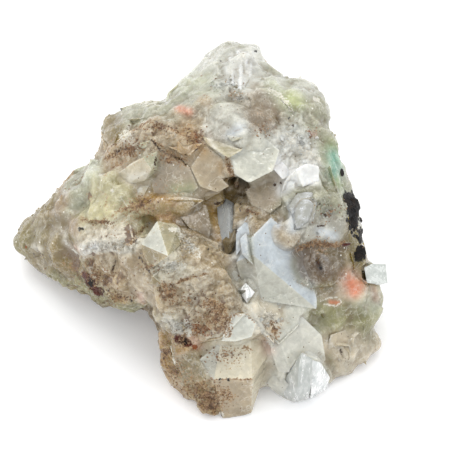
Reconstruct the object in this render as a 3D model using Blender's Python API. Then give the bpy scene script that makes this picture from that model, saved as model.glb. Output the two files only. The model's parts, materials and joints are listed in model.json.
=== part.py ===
"""A calcite specimen: one solid of crystals grown together, broken off flat underneath, 80 mm wide.

The display side is described as a collector sees it, looking down on the standing specimen at
DISPLAY_TILT. A point there is given in millimetres as (across, up, height): across to the right,
up the view, and height above the table, counted from the foot of the specimen. seen() turns that
into a place in space. Shapes that the display side hides are given straight in millimetres from
the same foot. At the end the specimen is moved so that it stands on the world origin.
"""

import math
import random
from dataclasses import dataclass

import bmesh
import bpy
from mathutils import Matrix, Quaternion, Vector
from mathutils.bvhtree import BVHTree

MM = 0.001
NODE = "calcite_cluster"
SEED = 41

# Driving dimensions, mm
DISPLAY_TILT = math.radians(50)  # how far down the collector looks
SAW_DEPTH = 20.0  # thickness of what is broken away below the flat underside
SAW_SIDE = 130.0

# Small irregularities, mm
CORNER_JITTER = 0.06  # keeps two crystals from sharing an exact plane
FLAT_WITHIN = math.radians(1)  # faces that meet this flatly are one face
ROOT_TAPER = 0.82  # a crystal narrows towards its root
CHUNK_LEVELS = ((0.45, 0.72), (0.0, 1.0), (-0.7, 0.7))  # height and reach of its rings, over its size
RHOMB_PRESS = 0.86  # how far a rhombohedron is pressed along its upright diagonal
LEAN = 0.35  # how far small growth leans off the normal of what it grows on
SPACING = 0.62  # least distance between small crystals, over the sum of their sizes

UP_THE_PICTURE = Vector((0, math.sin(DISPLAY_TILT), math.cos(DISPLAY_TILT)))
TO_VIEWER = Vector((0, -math.cos(DISPLAY_TILT), math.sin(DISPLAY_TILT)))
FAR = 200.0

chance = random.Random(SEED)


def seen(across, up, height):
    """World position, in mm, of a display side point at this height above the table."""
    depth = (up - height * math.cos(DISPLAY_TILT)) / math.sin(DISPLAY_TILT)
    return Vector((across, depth, height))


@dataclass(frozen=True)
class Crystal:
    """A crystal by the corners that show, and how deep its body runs into the mass."""

    name: str
    depth: float
    corners: tuple


# The mass that all crystals grow from: hidden blocks in world mm, each by its corners.
BODY = {
    "heart": (
        (-8, 32, -2), (-2, 14, -2), (15, 13, -2), (30, 20, -2), (33, 34, -2), (30, 52, -2),
        (20, 66, -2), (6, 72, -2), (-9, 68, -2), (-21, 57, -2), (-20, 44, -2),
        (26, 65, 18), (14, 78, 21), (0, 78, 21), (-14, 70, 17), (-24, 60, 13), (33, 46, 12),
        (-7, 23, 24), (4, 22, 25), (15, 22, 22), (26, 28, 19), (28, 38, 23), (24, 56, 29),
        (10, 73, 31), (-4, 66, 31), (-15, 58, 27), (-17, 42, 24), (3, 44, 24),
    ),
    "arm": (
        (-33, 48, -2), (-25, 42, -2), (-12, 40, -2), (-14, 56, -2), (-26, 55, -2),
        (-35, 46, 6), (-28, 44, 17), (-20, 35, 16), (-11, 31, 20), (-14, 52, 26), (-25, 51, 20),
    ),
    "toe": (
        (-3, 6, -2), (12, 5, -2), (14, 15, -2), (-5, 15, -2),
        (-2, 8, 10), (12, 7, 9), (12, 17, 20), (-5, 17, 19),
    ),
    "flank": (
        (19, 9, -2), (30, 13, -2), (36, 21, -2), (34, 32, -2), (20, 30, -2),
        (20, 13, 11), (29, 17, 9), (35, 25, 10), (33, 33, 17), (22, 30, 22),
    ),
    "crown": (
        (-6, 57, 10), (24, 55, 10), (18, 65, 8), (4, 69, 8),
        (-8, 58, 30), (4, 69, 31), (14, 67, 31), (24, 57, 31), (6, 54, 36),
    ),
}

# Thicker masses close under the display side, so that no gap between crystals goes through.
DISPLAY_MASSES = (
    Crystal("crown_mass", 12, (
        (-6.0, 69.0, 33.0), (0.0, 75.0, 33.0), (12.0, 78.5, 34.5), (22.0, 72.5, 35.5),
        (27.0, 65.0, 33.0), (28.5, 58.0, 31.5), (18.0, 51.0, 34.0), (8.0, 54.5, 37.0),
        (-4.0, 58.0, 37.0), (-14.0, 60.0, 34.0), (9.0, 67.0, 40.5),
    )),
    Crystal("right_mass", 11, (
        (17.0, 50.0, 32.5), (30.0, 56.0, 30.5), (33.6, 46.0, 25.0), (35.8, 36.0, 18.5),
        (36.5, 27.0, 13.0), (30.0, 22.0, 11.5), (22.0, 27.0, 17.5), (20.0, 35.0, 25.0),
        (17.0, 44.0, 30.0),
    )),
    Crystal("left_mass", 12, (
        (-20.0, 64.0, 29.0), (-6.0, 67.0, 34.0), (-6.5, 58.5, 38.3), (2.0, 58.5, 38.6),
        (9.0, 54.0, 37.2), (5.0, 49.5, 33.5), (-1.0, 46.0, 29.5), (-14.0, 44.0, 28.5),
        (-22.5, 50.0, 26.0), (-22.5, 56.0, 27.0), (-15.0, 56.5, 34.5),
    )),
    Crystal("arm_mass", 9, (
        (-36.5, 41.0, 9.0), (-30.5, 48.5, 17.0), (-22.0, 53.0, 26.0), (-14.0, 48.0, 29.0),
        (-11.0, 37.0, 28.5), (-14.0, 27.0, 14.0), (-26.0, 31.5, 8.0),
    )),
    Crystal("middle_mass", 10, (
        (-8.0, 42.0, 31.0), (3.5, 37.5, 27.5), (8.0, 33.5, 27.0), (12.0, 27.0, 22.5),
        (7.0, 19.0, 17.0), (-6.0, 19.0, 15.5), (-8.5, 28.0, 24.0),
    )),
    Crystal("clear_mass", 8, (
        (11.5, 22.5, 18.0), (21.0, 24.0, 17.5), (29.5, 20.5, 11.5), (31.0, 12.0, 4.0),
        (22.0, 8.0, 4.5), (16.0, 10.5, 6.0), (12.5, 17.0, 12.5),
    )),
)

# Crystals of the display side, from its foot to its crown.
DISPLAY_CRYSTALS = (
    Crystal("foot_block", 13, (
        (-0.4, 13.0, 13.0), (3.4, 9.2, 11.0), (11.6, 9.3, 11.0), (16.1, 16.1, 12.2),
        (13.7, 18.7, 15.5), (11.4, 17.6, 15.8), (4.9, 17.2, 16.0), (14.6, 11.2, 6.0),
        (11.4, 1.9, 0.5), (7.3, 1.2, -0.6), (5.6, 0.0, -1.0), (1.3, 2.6, 0.5),
        (-1.9, 5.6, 2.5), (-3.4, 8.6, 6.0),
    )),
    Crystal("shell_facet", 8, (
        (7.3, 23.0, 22.0), (10.3, 23.0, 22.5), (12.5, 21.5, 21.5), (13.3, 20.0, 20.3),
        (11.4, 18.3, 19.0), (7.9, 17.3, 18.2), (4.9, 17.4, 18.0), (6.2, 19.1, 19.5),
    )),
    Crystal("foot_rim", 9, (
        (-8.6, 19.5, 13.5), (-8.6, 14.6, 9.5), (-6.9, 9.9, 5.0), (-3.4, 6.9, 2.0),
        (-1.9, 4.7, 0.0), (-0.4, 10.7, 11.5), (-4.3, 16.5, 15.5), (-1.3, 15.5, 15.5),
        (2.6, 9.0, 11.5), (-7.5, 21.0, 16.0),
    )),
    Crystal("tan_mass", 10, (
        (1.9, 33.1, 31.0), (5.2, 32.6, 31.0), (6.9, 29.4, 29.0), (9.2, 25.1, 25.0),
        (10.3, 23.4, 23.6), (7.1, 23.2, 23.5), (5.2, 18.0, 18.6), (0.4, 17.0, 16.8),
        (-4.3, 18.7, 17.0), (-7.5, 22.3, 18.0), (-9.2, 23.6, 17.0), (-8.2, 28.4, 25.5),
        (-6.0, 31.1, 28.5), (-1.7, 31.4, 30.0),
    )),
    Crystal("lower_pyramid", 9, (
        (-6.4, 35.7, 36.0), (-12.2, 38.2, 32.0), (-8.8, 43.2, 34.5), (-4.3, 42.3, 34.3),
        (-3.7, 38.2, 33.0), (-5.6, 35.2, 33.5), (-10.5, 32.6, 28.5),
    )),
    Crystal("pyramid_step", 7, (
        (-9.9, 31.5, 28.5), (-5.2, 35.1, 31.5), (-2.8, 34.6, 31.5), (-2.6, 31.8, 29.8),
        (-7.7, 29.6, 27.5), (-10.3, 29.6, 26.0),
    )),
    Crystal("upper_pyramid", 9, (
        (-8.8, 58.2, 40.0), (-8.8, 54.1, 37.5), (-9.9, 54.3, 38.3), (-11.8, 56.9, 39.5),
        (-17.6, 53.1, 32.5), (-15.5, 50.9, 32.0), (-11.4, 51.8, 34.5), (-14.4, 55.6, 36.5),
    )),
    Crystal("smooth_beige", 9, (
        (-1.7, 54.6, 37.5), (1.5, 59.5, 40.5), (5.2, 56.7, 39.3), (6.9, 50.7, 35.5),
        (4.1, 49.3, 34.5), (0.4, 50.5, 35.3),
    )),
    Crystal("grey_beige", 10, (
        (-8.6, 58.0, 38.0), (-3.0, 56.5, 38.0), (-1.5, 54.1, 37.0), (0.2, 50.3, 34.9),
        (-2.6, 47.9, 32.3), (-10.3, 48.3, 31.5), (-9.9, 52.8, 33.5),
    )),
    Crystal("ochre_ridge", 7, (
        (-15.0, 46.0, 31.5), (-10.3, 47.9, 33.0), (-2.8, 48.5, 33.5), (1.5, 47.7, 33.5),
        (-2.6, 45.1, 32.0), (-10.3, 44.5, 31.5), (-14.2, 44.7, 30.5),
    )),
    Crystal("taupe_prism", 8, (
        (-4.1, 44.5, 31.0), (-1.9, 47.5, 31.5), (1.9, 46.6, 31.5), (2.8, 42.3, 30.0),
        (2.4, 39.1, 28.5), (-1.9, 41.7, 31.0),
    )),
    Crystal("smoky_prism", 9, (
        (4.1, 46.2, 29.0), (6.0, 48.1, 29.0), (7.7, 47.0, 29.5), (8.2, 41.5, 29.0),
        (6.4, 36.9, 27.0), (4.5, 38.9, 27.5), (6.7, 45.5, 31.5), (6.7, 39.5, 29.8),
    )),
    Crystal("hollow_side", 8, (
        (9.9, 50.0, 33.0), (16.3, 53.3, 35.5), (18.3, 51.3, 35.0), (17.8, 46.6, 33.0),
        (15.3, 44.7, 31.5), (11.4, 46.6, 31.5),
    )),
    Crystal("hollow_lip", 7, (
        (8.4, 47.9, 30.5), (10.5, 44.0, 31.5), (13.7, 44.0, 32.0), (11.2, 39.7, 31.5),
        (8.2, 35.7, 29.5), (8.2, 40.8, 30.0),
    )),
    Crystal("middle_tan", 9, (
        (-3.7, 41.7, 32.5), (-1.9, 41.5, 31.5), (2.4, 38.9, 30.0), (4.5, 38.4, 29.5),
        (6.2, 34.4, 29.5), (5.2, 32.2, 30.0), (1.5, 33.1, 30.8), (-2.6, 32.2, 30.2),
        (-4.7, 34.4, 32.0), (-3.4, 38.0, 33.0),
    )),
    Crystal("blue_table", 9, (
        (11.6, 40.0, 32.7), (15.7, 44.0, 33.5), (21.9, 38.0, 28.2), (25.6, 26.2, 20.5),
        (25.6, 24.3, 19.5), (11.8, 35.9, 30.5), (8.2, 34.4, 28.5), (9.0, 30.9, 25.5),
        (13.7, 26.2, 22.0), (20.8, 23.6, 18.5),
    )),
    Crystal("table_step", 5, (
        (9.0, 39.5, 32.3), (10.3, 40.8, 33.0), (10.7, 36.3, 31.5), (11.8, 33.7, 29.7),
        (9.5, 35.9, 30.8),
    )),
    Crystal("bright_tip", 4, (
        (8.4, 28.4, 25.0), (10.3, 29.9, 26.5), (12.2, 27.9, 25.3), (10.5, 25.6, 24.5),
        (10.3, 28.4, 27.6),
    )),
    Crystal("white_ridge", 6, (
        (10.3, 25.3, 23.8), (11.6, 26.2, 23.8), (16.5, 20.8, 18.8), (16.3, 16.8, 16.0),
        (13.7, 19.8, 19.8),
    )),
    Crystal("sugar_slope", 7, (
        (11.8, 26.6, 22.5), (16.5, 25.6, 20.8), (21.3, 23.6, 18.5), (21.9, 20.8, 17.0),
        (17.2, 16.5, 15.0), (14.4, 20.8, 18.8),
    )),
    Crystal("clear_face", 9, (
        (16.5, 20.6, 18.0), (21.5, 23.6, 18.3), (26.6, 18.7, 13.5), (27.5, 13.3, 8.5),
        (19.8, 10.7, 9.0), (17.2, 10.7, 8.0), (15.5, 15.5, 13.5),
    )),
    Crystal("clear_tip", 8, (
        (19.1, 10.1, 8.0), (22.3, 15.0, 13.0), (25.8, 13.7, 11.5), (28.4, 9.5, 4.5),
        (27.5, 6.9, 1.5), (24.3, 4.9, -0.6), (20.6, 4.1, -0.8), (17.6, 6.0, 1.0),
        (22.4, 9.4, 7.2),
    )),
    Crystal("clear_skirt", 6, (
        (14.6, 8.2, 4.0), (17.2, 6.0, 1.0), (19.8, 4.3, -0.5), (19.8, 7.9, 6.0),
        (16.5, 11.2, 8.0),
    )),
    Crystal("smoky_eye", 8, (
        (20.6, 34.4, 24.5), (22.6, 36.9, 26.0), (27.3, 37.8, 26.0), (31.1, 35.9, 24.0),
        (31.6, 31.6, 21.0), (28.4, 28.4, 20.3), (23.0, 29.4, 21.5), (26.0, 34.4, 27.5),
    )),
    Crystal("lilac_mass", 9, (
        (18.0, 49.0, 34.0), (21.9, 50.5, 35.5), (26.6, 50.7, 35.0), (30.9, 47.7, 31.5),
        (32.0, 42.3, 28.5), (28.4, 39.1, 28.5), (23.0, 39.1, 29.5), (19.8, 42.3, 32.0),
        (19.1, 45.1, 33.5),
    )),
    Crystal("lilac_facet", 5, (
        (19.3, 44.5, 34.2), (21.9, 48.1, 36.0), (25.8, 48.8, 36.0), (24.5, 42.3, 32.8),
        (20.4, 40.8, 32.0),
    )),
    Crystal("beige_bead", 4, (
        (16.1, 41.7, 32.3), (18.3, 43.0, 33.0), (21.3, 41.2, 31.8), (21.9, 38.4, 30.0),
        (19.3, 37.4, 29.8), (16.8, 39.1, 31.2), (19.2, 40.2, 32.8),
    )),
    Crystal("white_sliver", 4, (
        (25.8, 43.2, 31.2), (29.0, 42.7, 30.3), (31.6, 39.1, 27.3), (29.6, 38.0, 27.3),
        (26.2, 40.2, 29.6),
    )),
    Crystal("right_edge", 9, (
        (30.1, 56.3, 32.5), (30.7, 56.5, 31.5), (32.6, 50.9, 28.5), (33.1, 49.0, 27.5),
        (34.4, 45.1, 25.0), (35.2, 40.8, 22.5), (31.6, 40.8, 27.5), (29.4, 48.8, 32.0),
        (27.3, 55.2, 36.0),
    )),
    Crystal("dark_flake", 3, (
        (32.4, 48.5, 29.0), (34.5, 48.0, 26.5), (34.5, 44.5, 25.8), (33.1, 45.1, 28.2),
    )),
    Crystal("right_shoulder", 9, (
        (33.1, 40.8, 26.0), (35.2, 40.0, 22.5), (36.9, 34.4, 18.5), (36.1, 32.6, 18.5),
        (33.1, 31.6, 20.5), (31.6, 36.9, 25.0),
    )),
    Crystal("salmon_block", 8, (
        (30.5, 31.6, 21.0), (34.4, 33.1, 20.0), (36.9, 29.4, 16.5), (35.2, 25.8, 14.5),
        (31.6, 26.6, 17.0), (29.9, 29.4, 20.0),
    )),
    Crystal("white_block", 6, (
        (35.7, 33.1, 17.5), (37.4, 33.9, 17.5), (39.9, 33.7, 15.5), (40.1, 30.3, 13.5),
        (38.7, 29.4, 13.5), (36.3, 29.9, 16.0),
    )),
    Crystal("olive_block", 7, (
        (25.3, 24.1, 17.5), (26.2, 26.2, 18.8), (31.6, 26.6, 16.5), (33.9, 24.1, 13.5),
        (33.3, 20.4, 10.5), (30.1, 19.8, 11.5), (26.6, 21.0, 14.0),
    )),
    Crystal("right_lobe", 8, (
        (36.5, 28.4, 14.0), (39.5, 28.4, 11.5), (39.7, 25.1, 10.0), (37.8, 22.3, 9.0),
        (37.8, 19.8, 7.5), (35.2, 18.7, 9.0), (33.7, 23.0, 12.5), (34.8, 26.2, 14.0),
    )),
    Crystal("right_foot", 8, (
        (33.1, 20.2, 10.0), (37.8, 19.8, 7.0), (39.3, 18.9, 5.0), (39.3, 15.9, 4.0),
        (36.9, 13.7, 3.0), (33.5, 11.2, 1.5), (30.5, 9.0, 0.0), (28.4, 8.8, 1.5),
        (27.3, 13.3, 7.0), (28.4, 18.7, 11.5),
    )),
    Crystal("arm_tip", 9, (
        (-40.1, 39.5, 7.5), (-38.0, 43.2, 11.0), (-35.0, 45.3, 14.0), (-32.4, 47.0, 16.0),
        (-29.2, 43.8, 21.0), (-28.4, 39.1, 20.0), (-32.9, 36.9, 15.5), (-37.2, 36.9, 9.5),
        (-38.9, 36.5, 6.5),
    )),
    Crystal("arm_back_low", 8, (
        (-32.4, 47.5, 17.5), (-30.3, 50.0, 19.5), (-27.9, 47.7, 24.0), (-29.2, 44.2, 22.5),
        (-32.9, 44.5, 17.8),
    )),
    Crystal("arm_back_high", 10, (
        (-30.3, 50.0, 20.5), (-26.8, 54.3, 23.5), (-24.1, 55.4, 25.5), (-21.7, 53.7, 29.0),
        (-24.3, 49.8, 27.5), (-27.5, 47.7, 25.0), (-30.1, 47.7, 22.0),
    )),
    Crystal("arm_front", 10, (
        (-38.2, 35.9, 6.0), (-29.6, 37.4, 16.5), (-24.3, 35.4, 20.5), (-21.3, 36.1, 22.5),
        (-14.6, 35.9, 26.0), (-10.7, 31.6, 25.0), (-9.2, 25.1, 18.5), (-12.0, 24.1, 14.0),
        (-17.2, 24.5, 11.0), (-22.8, 26.6, 8.5), (-28.8, 29.4, 6.0), (-33.3, 31.4, 4.5),
        (-36.3, 34.2, 4.0),
    )),
    Crystal("arm_ridge", 9, (
        (-28.8, 38.4, 20.8), (-28.4, 42.1, 22.5), (-23.2, 42.3, 26.5), (-18.5, 42.1, 29.5),
        (-13.7, 43.0, 31.5), (-12.9, 39.1, 31.0), (-14.4, 36.7, 29.7), (-21.3, 36.9, 26.2),
        (-24.1, 36.1, 24.2),
    )),
    Crystal("brown_knuckle", 8, (
        (-18.5, 34.4, 24.5), (-15.0, 35.7, 27.8), (-10.7, 32.2, 28.0), (-9.9, 27.1, 21.5),
        (-12.5, 25.1, 17.0), (-16.3, 26.2, 15.0), (-18.9, 29.4, 18.0),
    )),
    Crystal("olive_rim", 7, (
        (-22.1, 27.1, 8.0), (-15.7, 27.1, 14.0), (-12.0, 25.6, 16.0), (-12.2, 23.8, 12.5),
        (-17.2, 24.3, 9.5), (-21.5, 25.1, 7.0),
    )),
    Crystal("yellow_mass", 9, (
        (-22.8, 52.0, 29.5), (-18.9, 52.4, 31.5), (-15.0, 50.3, 32.5), (-14.6, 46.2, 31.5),
        (-18.5, 43.0, 29.7), (-22.8, 43.8, 27.7), (-24.3, 47.7, 27.7),
    )),
    Crystal("left_round", 9, (
        (-21.0, 62.3, 30.0), (-20.4, 65.1, 30.5), (-19.1, 66.2, 31.0), (-16.8, 65.9, 34.0),
        (-15.9, 62.7, 35.5), (-17.6, 58.4, 34.0), (-20.2, 58.0, 31.0),
    )),
    Crystal("left_spur", 5, (
        (-23.2, 56.7, 27.5), (-21.3, 56.3, 29.5), (-21.0, 53.1, 30.0), (-24.1, 54.1, 27.0),
    )),
    Crystal("upper_grains", 10, (
        (-17.0, 67.4, 32.5), (-13.3, 68.7, 33.5), (-7.3, 69.2, 34.5), (-6.7, 66.6, 38.0),
        (-10.3, 64.7, 38.0), (-15.7, 64.0, 35.5),
    )),
    Crystal("brown_ledge", 8, (
        (-17.2, 58.4, 35.0), (-15.9, 62.5, 37.0), (-10.3, 64.7, 39.2), (-7.5, 62.5, 40.0),
        (-10.3, 58.9, 39.5), (-13.7, 58.2, 38.0),
    )),
    Crystal("brown_brow", 9, (
        (-10.3, 64.4, 39.3), (-4.3, 64.7, 40.3), (-0.2, 62.7, 41.0), (1.1, 59.9, 41.3),
        (-1.7, 57.3, 40.0), (-6.4, 58.9, 40.0),
    )),
    Crystal("under_ledge", 8, (
        (-20.2, 56.7, 30.5), (-13.5, 58.0, 37.0), (-12.2, 56.7, 38.3), (-17.2, 53.3, 33.0),
        (-20.2, 53.7, 30.0),
    )),
    Crystal("olive_lobe", 9, (
        (-6.7, 70.9, 33.5), (-4.3, 72.8, 34.0), (-0.4, 69.8, 39.0), (0.9, 67.4, 40.5),
        (0.4, 64.4, 40.8), (-3.9, 64.4, 39.3), (-7.1, 67.9, 36.5),
    )),
    Crystal("pale_dome", 10, (
        (0.9, 67.0, 42.0), (0.8, 61.4, 41.5), (1.9, 59.7, 41.3), (6.4, 56.5, 41.0),
        (9.7, 58.4, 42.0), (11.2, 63.8, 43.3), (9.0, 68.1, 43.3), (5.2, 69.2, 42.8),
    )),
    Crystal("blue_window", 3, (
        (6.0, 61.6, 43.2), (8.6, 64.4, 44.2), (10.5, 63.6, 44.0), (9.9, 61.0, 43.2),
        (7.3, 60.1, 42.8),
    )),
    Crystal("hex_end", 9, (
        (7.1, 56.5, 40.0), (7.3, 53.5, 38.5), (11.0, 51.3, 37.8), (16.1, 53.8, 38.5),
        (17.6, 58.4, 40.5), (13.7, 61.6, 42.0), (9.0, 60.1, 41.5),
    )),
    Crystal("brown_window", 8, (
        (9.9, 65.3, 43.0), (10.5, 70.2, 42.2), (13.7, 71.7, 41.2), (15.9, 69.6, 41.0),
        (17.8, 66.6, 41.0), (15.0, 62.7, 41.6), (11.6, 61.9, 42.2),
    )),
    Crystal("green_strip", 6, (
        (13.7, 72.6, 41.3), (15.5, 74.3, 40.2), (18.3, 72.2, 41.0), (21.9, 69.0, 40.2),
        (22.8, 66.4, 39.7), (20.4, 65.7, 40.2), (15.9, 69.8, 41.6),
    )),
    Crystal("grey_lobe", 12, (
        (18.9, 73.9, 38.5), (21.3, 74.5, 37.0), (24.1, 73.0, 36.5), (25.6, 70.0, 36.5),
        (27.9, 68.1, 35.0), (27.9, 63.6, 34.5), (25.8, 62.5, 36.0), (22.3, 66.2, 39.0),
        (20.8, 70.9, 39.5),
    )),
    Crystal("grey_shoulder", 10, (
        (22.6, 65.3, 38.5), (26.2, 64.0, 36.0), (29.2, 61.4, 33.5), (30.5, 58.9, 32.5),
        (30.1, 56.3, 33.0), (25.8, 56.7, 36.5), (21.9, 60.6, 38.5),
    )),
    Crystal("frost_field", 8, (
        (15.0, 62.7, 41.2), (20.8, 64.9, 39.8), (24.1, 59.5, 38.3), (21.9, 55.2, 37.2),
        (18.3, 52.0, 36.5), (15.9, 54.6, 38.3),
    )),
    Crystal("bright_white", 6, (
        (17.8, 49.2, 35.0), (18.5, 51.8, 36.8), (21.0, 54.3, 38.8), (23.2, 55.6, 39.0),
        (26.0, 55.0, 38.0), (26.0, 51.6, 36.2), (22.6, 50.5, 36.2),
    )),
    Crystal("striated_peak", 10, (
        (5.6, 82.2, 36.0), (10.3, 81.2, 36.5), (12.7, 81.6, 36.0), (14.2, 78.4, 36.5),
        (12.7, 74.3, 40.0), (10.5, 71.1, 42.0), (7.3, 71.7, 42.0), (6.7, 77.3, 40.5),
        (9.0, 79.5, 39.5),
    )),
    Crystal("peak_left", 10, (
        (0.2, 76.7, 34.5), (1.9, 79.5, 34.5), (5.2, 81.8, 35.5), (6.9, 77.8, 39.5),
        (7.3, 71.3, 41.5), (3.7, 69.2, 41.5), (0.4, 70.9, 39.5), (-0.4, 74.3, 37.0),
    )),
    Crystal("peak_foot", 9, (
        (-4.7, 72.6, 34.5), (0.2, 76.5, 35.0), (1.7, 72.4, 38.5), (1.5, 68.5, 40.5),
        (-1.7, 69.6, 38.5), (-4.5, 70.2, 37.0),
    )),
    Crystal("peak_right", 9, (
        (13.5, 77.5, 36.5), (16.8, 74.8, 37.5), (19.5, 74.0, 38.0), (17.0, 71.5, 40.5),
        (12.5, 73.5, 41.0),
    )),
)


@dataclass(frozen=True)
class Patch:
    """Small growth on the display side, within an ellipse: centre, reach, number and size in mm."""

    name: str
    kind: str
    centre: tuple
    reach: tuple
    count: int
    size: tuple


PATCHES = (
    Patch("yellow_chunks", "chunk", (-19.5, 47.8), (5.0, 4.2), 4, (2.8, 3.8)),
    Patch("arm_top_chunks", "chunk", (-31.5, 44.0), (6.5, 5.0), 6, (3.0, 4.6)),
    Patch("arm_shoulder_chunks", "chunk", (-26.5, 50.6), (4.0, 3.6), 3, (2.6, 3.8)),
    Patch("arm_front_chunks", "chunk", (-24.0, 31.5), (11.0, 4.2), 8, (3.2, 5.0)),
    Patch("arm_ridge_rhombs", "rhomb", (-21.5, 38.5), (7.0, 2.2), 3, (1.4, 2.2)),
    Patch("left_chunks", "chunk", (-13.5, 65.0), (6.0, 3.0), 3, (2.4, 3.6)),
    Patch("ledge_chunks", "chunk", (-12.0, 60.0), (6.0, 2.8), 2, (2.4, 3.0)),
    Patch("brow_chunks", "chunk", (-3.4, 61.0), (4.0, 2.6), 2, (2.4, 3.0)),
    Patch("lobe_chunks", "chunk", (-3.0, 69.0), (3.0, 3.0), 2, (2.6, 3.6)),
    Patch("mass_chunks", "chunk", (-1.0, 25.0), (7.4, 6.4), 6, (3.0, 4.6)),
    Patch("rim_chunks", "chunk", (-4.8, 11.0), (3.2, 6.4), 3, (2.4, 3.6)),
    Patch("peak_chunks", "chunk", (3.0, 75.0), (4.0, 6.0), 4, (2.8, 4.2)),
    Patch("peak_points", "point", (10.2, 76.5), (2.6, 3.4), 2, (1.4, 2.0)),
    Patch("dome_chunks", "chunk", (6.0, 66.0), (4.0, 2.6), 2, (2.4, 3.0)),
    Patch("lobe_right_chunks", "chunk", (24.4, 68.0), (3.6, 5.0), 4, (2.6, 4.0)),
    Patch("shoulder_chunks", "chunk", (27.0, 60.0), (3.2, 3.2), 2, (2.4, 3.4)),
    Patch("frost_rhombs", "rhomb", (19.6, 58.6), (4.8, 4.6), 4, (1.6, 2.6)),
    Patch("lilac_chunks", "chunk", (27.0, 44.6), (4.0, 4.6), 3, (2.6, 3.6)),
    Patch("salmon_rhombs", "rhomb", (34.0, 28.6), (2.2, 3.0), 2, (1.4, 2.0)),
    Patch("right_lobe_chunks", "chunk", (36.6, 23.6), (2.0, 3.6), 2, (2.0, 2.8)),
    Patch("right_foot_chunks", "chunk", (33.2, 15.4), (4.6, 4.2), 4, (2.6, 3.8)),
    Patch("sugar_rhombs", "rhomb", (15.8, 22.2), (3.6, 3.0), 2, (1.4, 2.0)),
)

# Small cavities that open to the display side: across, up and size in mm.
PITS = (
    ("red_pit", -3.2, 17.4, 1.9),
    ("arm_slot", -18.2, 33.6, 1.7),
    ("foot_pit", 30.5, 14.8, 1.5),
    ("hollow_pit", 7.0, 51.8, 2.4),
    ("ledge_pit", -14.5, 58.0, 1.6),
    ("eye_pit", 26.2, 33.0, 1.5),
)
PIT_SUNK = 0.2
BREAK_TILT = math.radians(14)

# Hollows broken out of the flat underside: x, y, size and depth in mm.
UNDERSIDE_BREAKS = (
    (-12.0, 27.0, 10.0, 1.4),
    (20.0, 21.0, 8.0, 0.9),
    (34.0, 41.0, 10.0, 1.6),
    (24.0, 63.0, 10.0, 1.2),
    (-4.0, 50.0, 11.0, 0.5),
    (-19.0, 64.0, 11.0, 1.5),
    (13.0, 37.0, 9.0, 0.1),
    (-31.0, 45.0, 6.0, 1.2),
)

# Growth on the back and the sides, which the display side hides.
BODY_CENTRE = Vector((0, 40, 14))
BACK_GROWTH = (  # kind, number and size in mm
    ("chunk", 17, (6.5, 10.0)),
    ("chunk", 9, (3.6, 5.4)),
    ("rhomb", 5, (3.4, 5.2)),
    ("point", 2, (2.4, 3.4)),
)
SUNK_SHARE = {"chunk": 0.22, "rhomb": 0.45, "point": 0.6}  # how far its middle is sunk, over its size
TRIES = 20  # places tried for each small crystal
FACING_VIEWER = 0.25  # a face turned to the viewer more than this belongs to the display side
BACK_CROWDING = 0.6  # growth on the back overlaps, so it is spaced as if this much smaller
LEAST_CLEARANCE = 0.4  # height above the table that small growth keeps to
OVERHANG_SHARE = 0.75  # how much of it must lie inside the silhouette


def hull_mesh(name, points):
    """A mesh of the convex hull of these points, in metres."""
    shape = bmesh.new()
    for point in points:
        shape.verts.new(point * MM)
    bmesh.ops.convex_hull(shape, input=shape.verts)
    loose = [vert for vert in shape.verts if not vert.link_faces]
    bmesh.ops.delete(shape, geom=loose, context="VERTS")
    bmesh.ops.recalc_face_normals(shape, faces=shape.faces)
    mesh = bpy.data.meshes.new(name)
    shape.to_mesh(mesh)
    shape.free()
    return mesh


def jittered(point):
    return point + Vector(chance.uniform(-CORNER_JITTER, CORNER_JITTER) for _ in range(3))


def display_crystal(crystal):
    """The crystal's visible corners, and the same corners drawn in towards its root."""
    tips = [jittered(seen(*corner)) for corner in crystal.corners]
    middle = sum(tips, Vector()) / len(tips)
    root = middle - TO_VIEWER * crystal.depth
    back = [root + (tip - middle) * ROOT_TAPER for tip in tips]
    return hull_mesh(crystal.name, tips + back)


def chunk_points(size):
    """A blunt broken block: a flat five- or six-sided top, a wider waist and a narrower root."""
    sides = chance.choice((5, 6))
    points = []
    for level, reach in CHUNK_LEVELS:
        for number in range(sides):
            angle = (number + chance.uniform(-0.3, 0.3)) * math.tau / sides
            out = size * reach * chance.uniform(0.8, 1.2)
            points.append(Vector((out * math.cos(angle), out * math.sin(angle), size * level)))
    return points


def rhomb_points(size):
    """A calcite rhombohedron: a cube stood on a corner and pressed along that diagonal."""
    shape = bmesh.new()
    bmesh.ops.create_cube(shape, size=size * 1.5)
    stand = Vector((1, 1, 1)).rotation_difference(Vector((0, 0, 1))).to_matrix()
    points = [stand @ vert.co for vert in shape.verts]
    shape.free()
    return [Vector((p.x, p.y, p.z * RHOMB_PRESS)) for p in points]


def point_points(size):
    """A six-sided prism with a blunt three-plus-three sided end."""
    shape = bmesh.new()
    bmesh.ops.create_cone(
        shape, cap_ends=True, segments=6, radius1=size * 0.8, radius2=size * 0.7, depth=size * 2.4
    )
    points = [vert.co.copy() for vert in shape.verts]
    shape.free()
    return points + [Vector((0, 0, size * 1.9))]


SMALL_SHAPES = {"chunk": chunk_points, "rhomb": rhomb_points, "point": point_points}


def small_crystal(name, kind, size, place, normal):
    """A small crystal of this kind, sunk in the surface and leaning a little off its normal."""
    lean = Vector(chance.uniform(-LEAN, LEAN) for _ in range(3))
    axis = (normal + lean).normalized()
    turn = axis.to_track_quat("Z", "Y") @ Quaternion((0, 0, 1), chance.uniform(0, math.tau))
    middle = place - axis * size * SUNK_SHARE[kind]
    return hull_mesh(name, [middle + turn @ point for point in SMALL_SHAPES[kind](size)])


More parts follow.
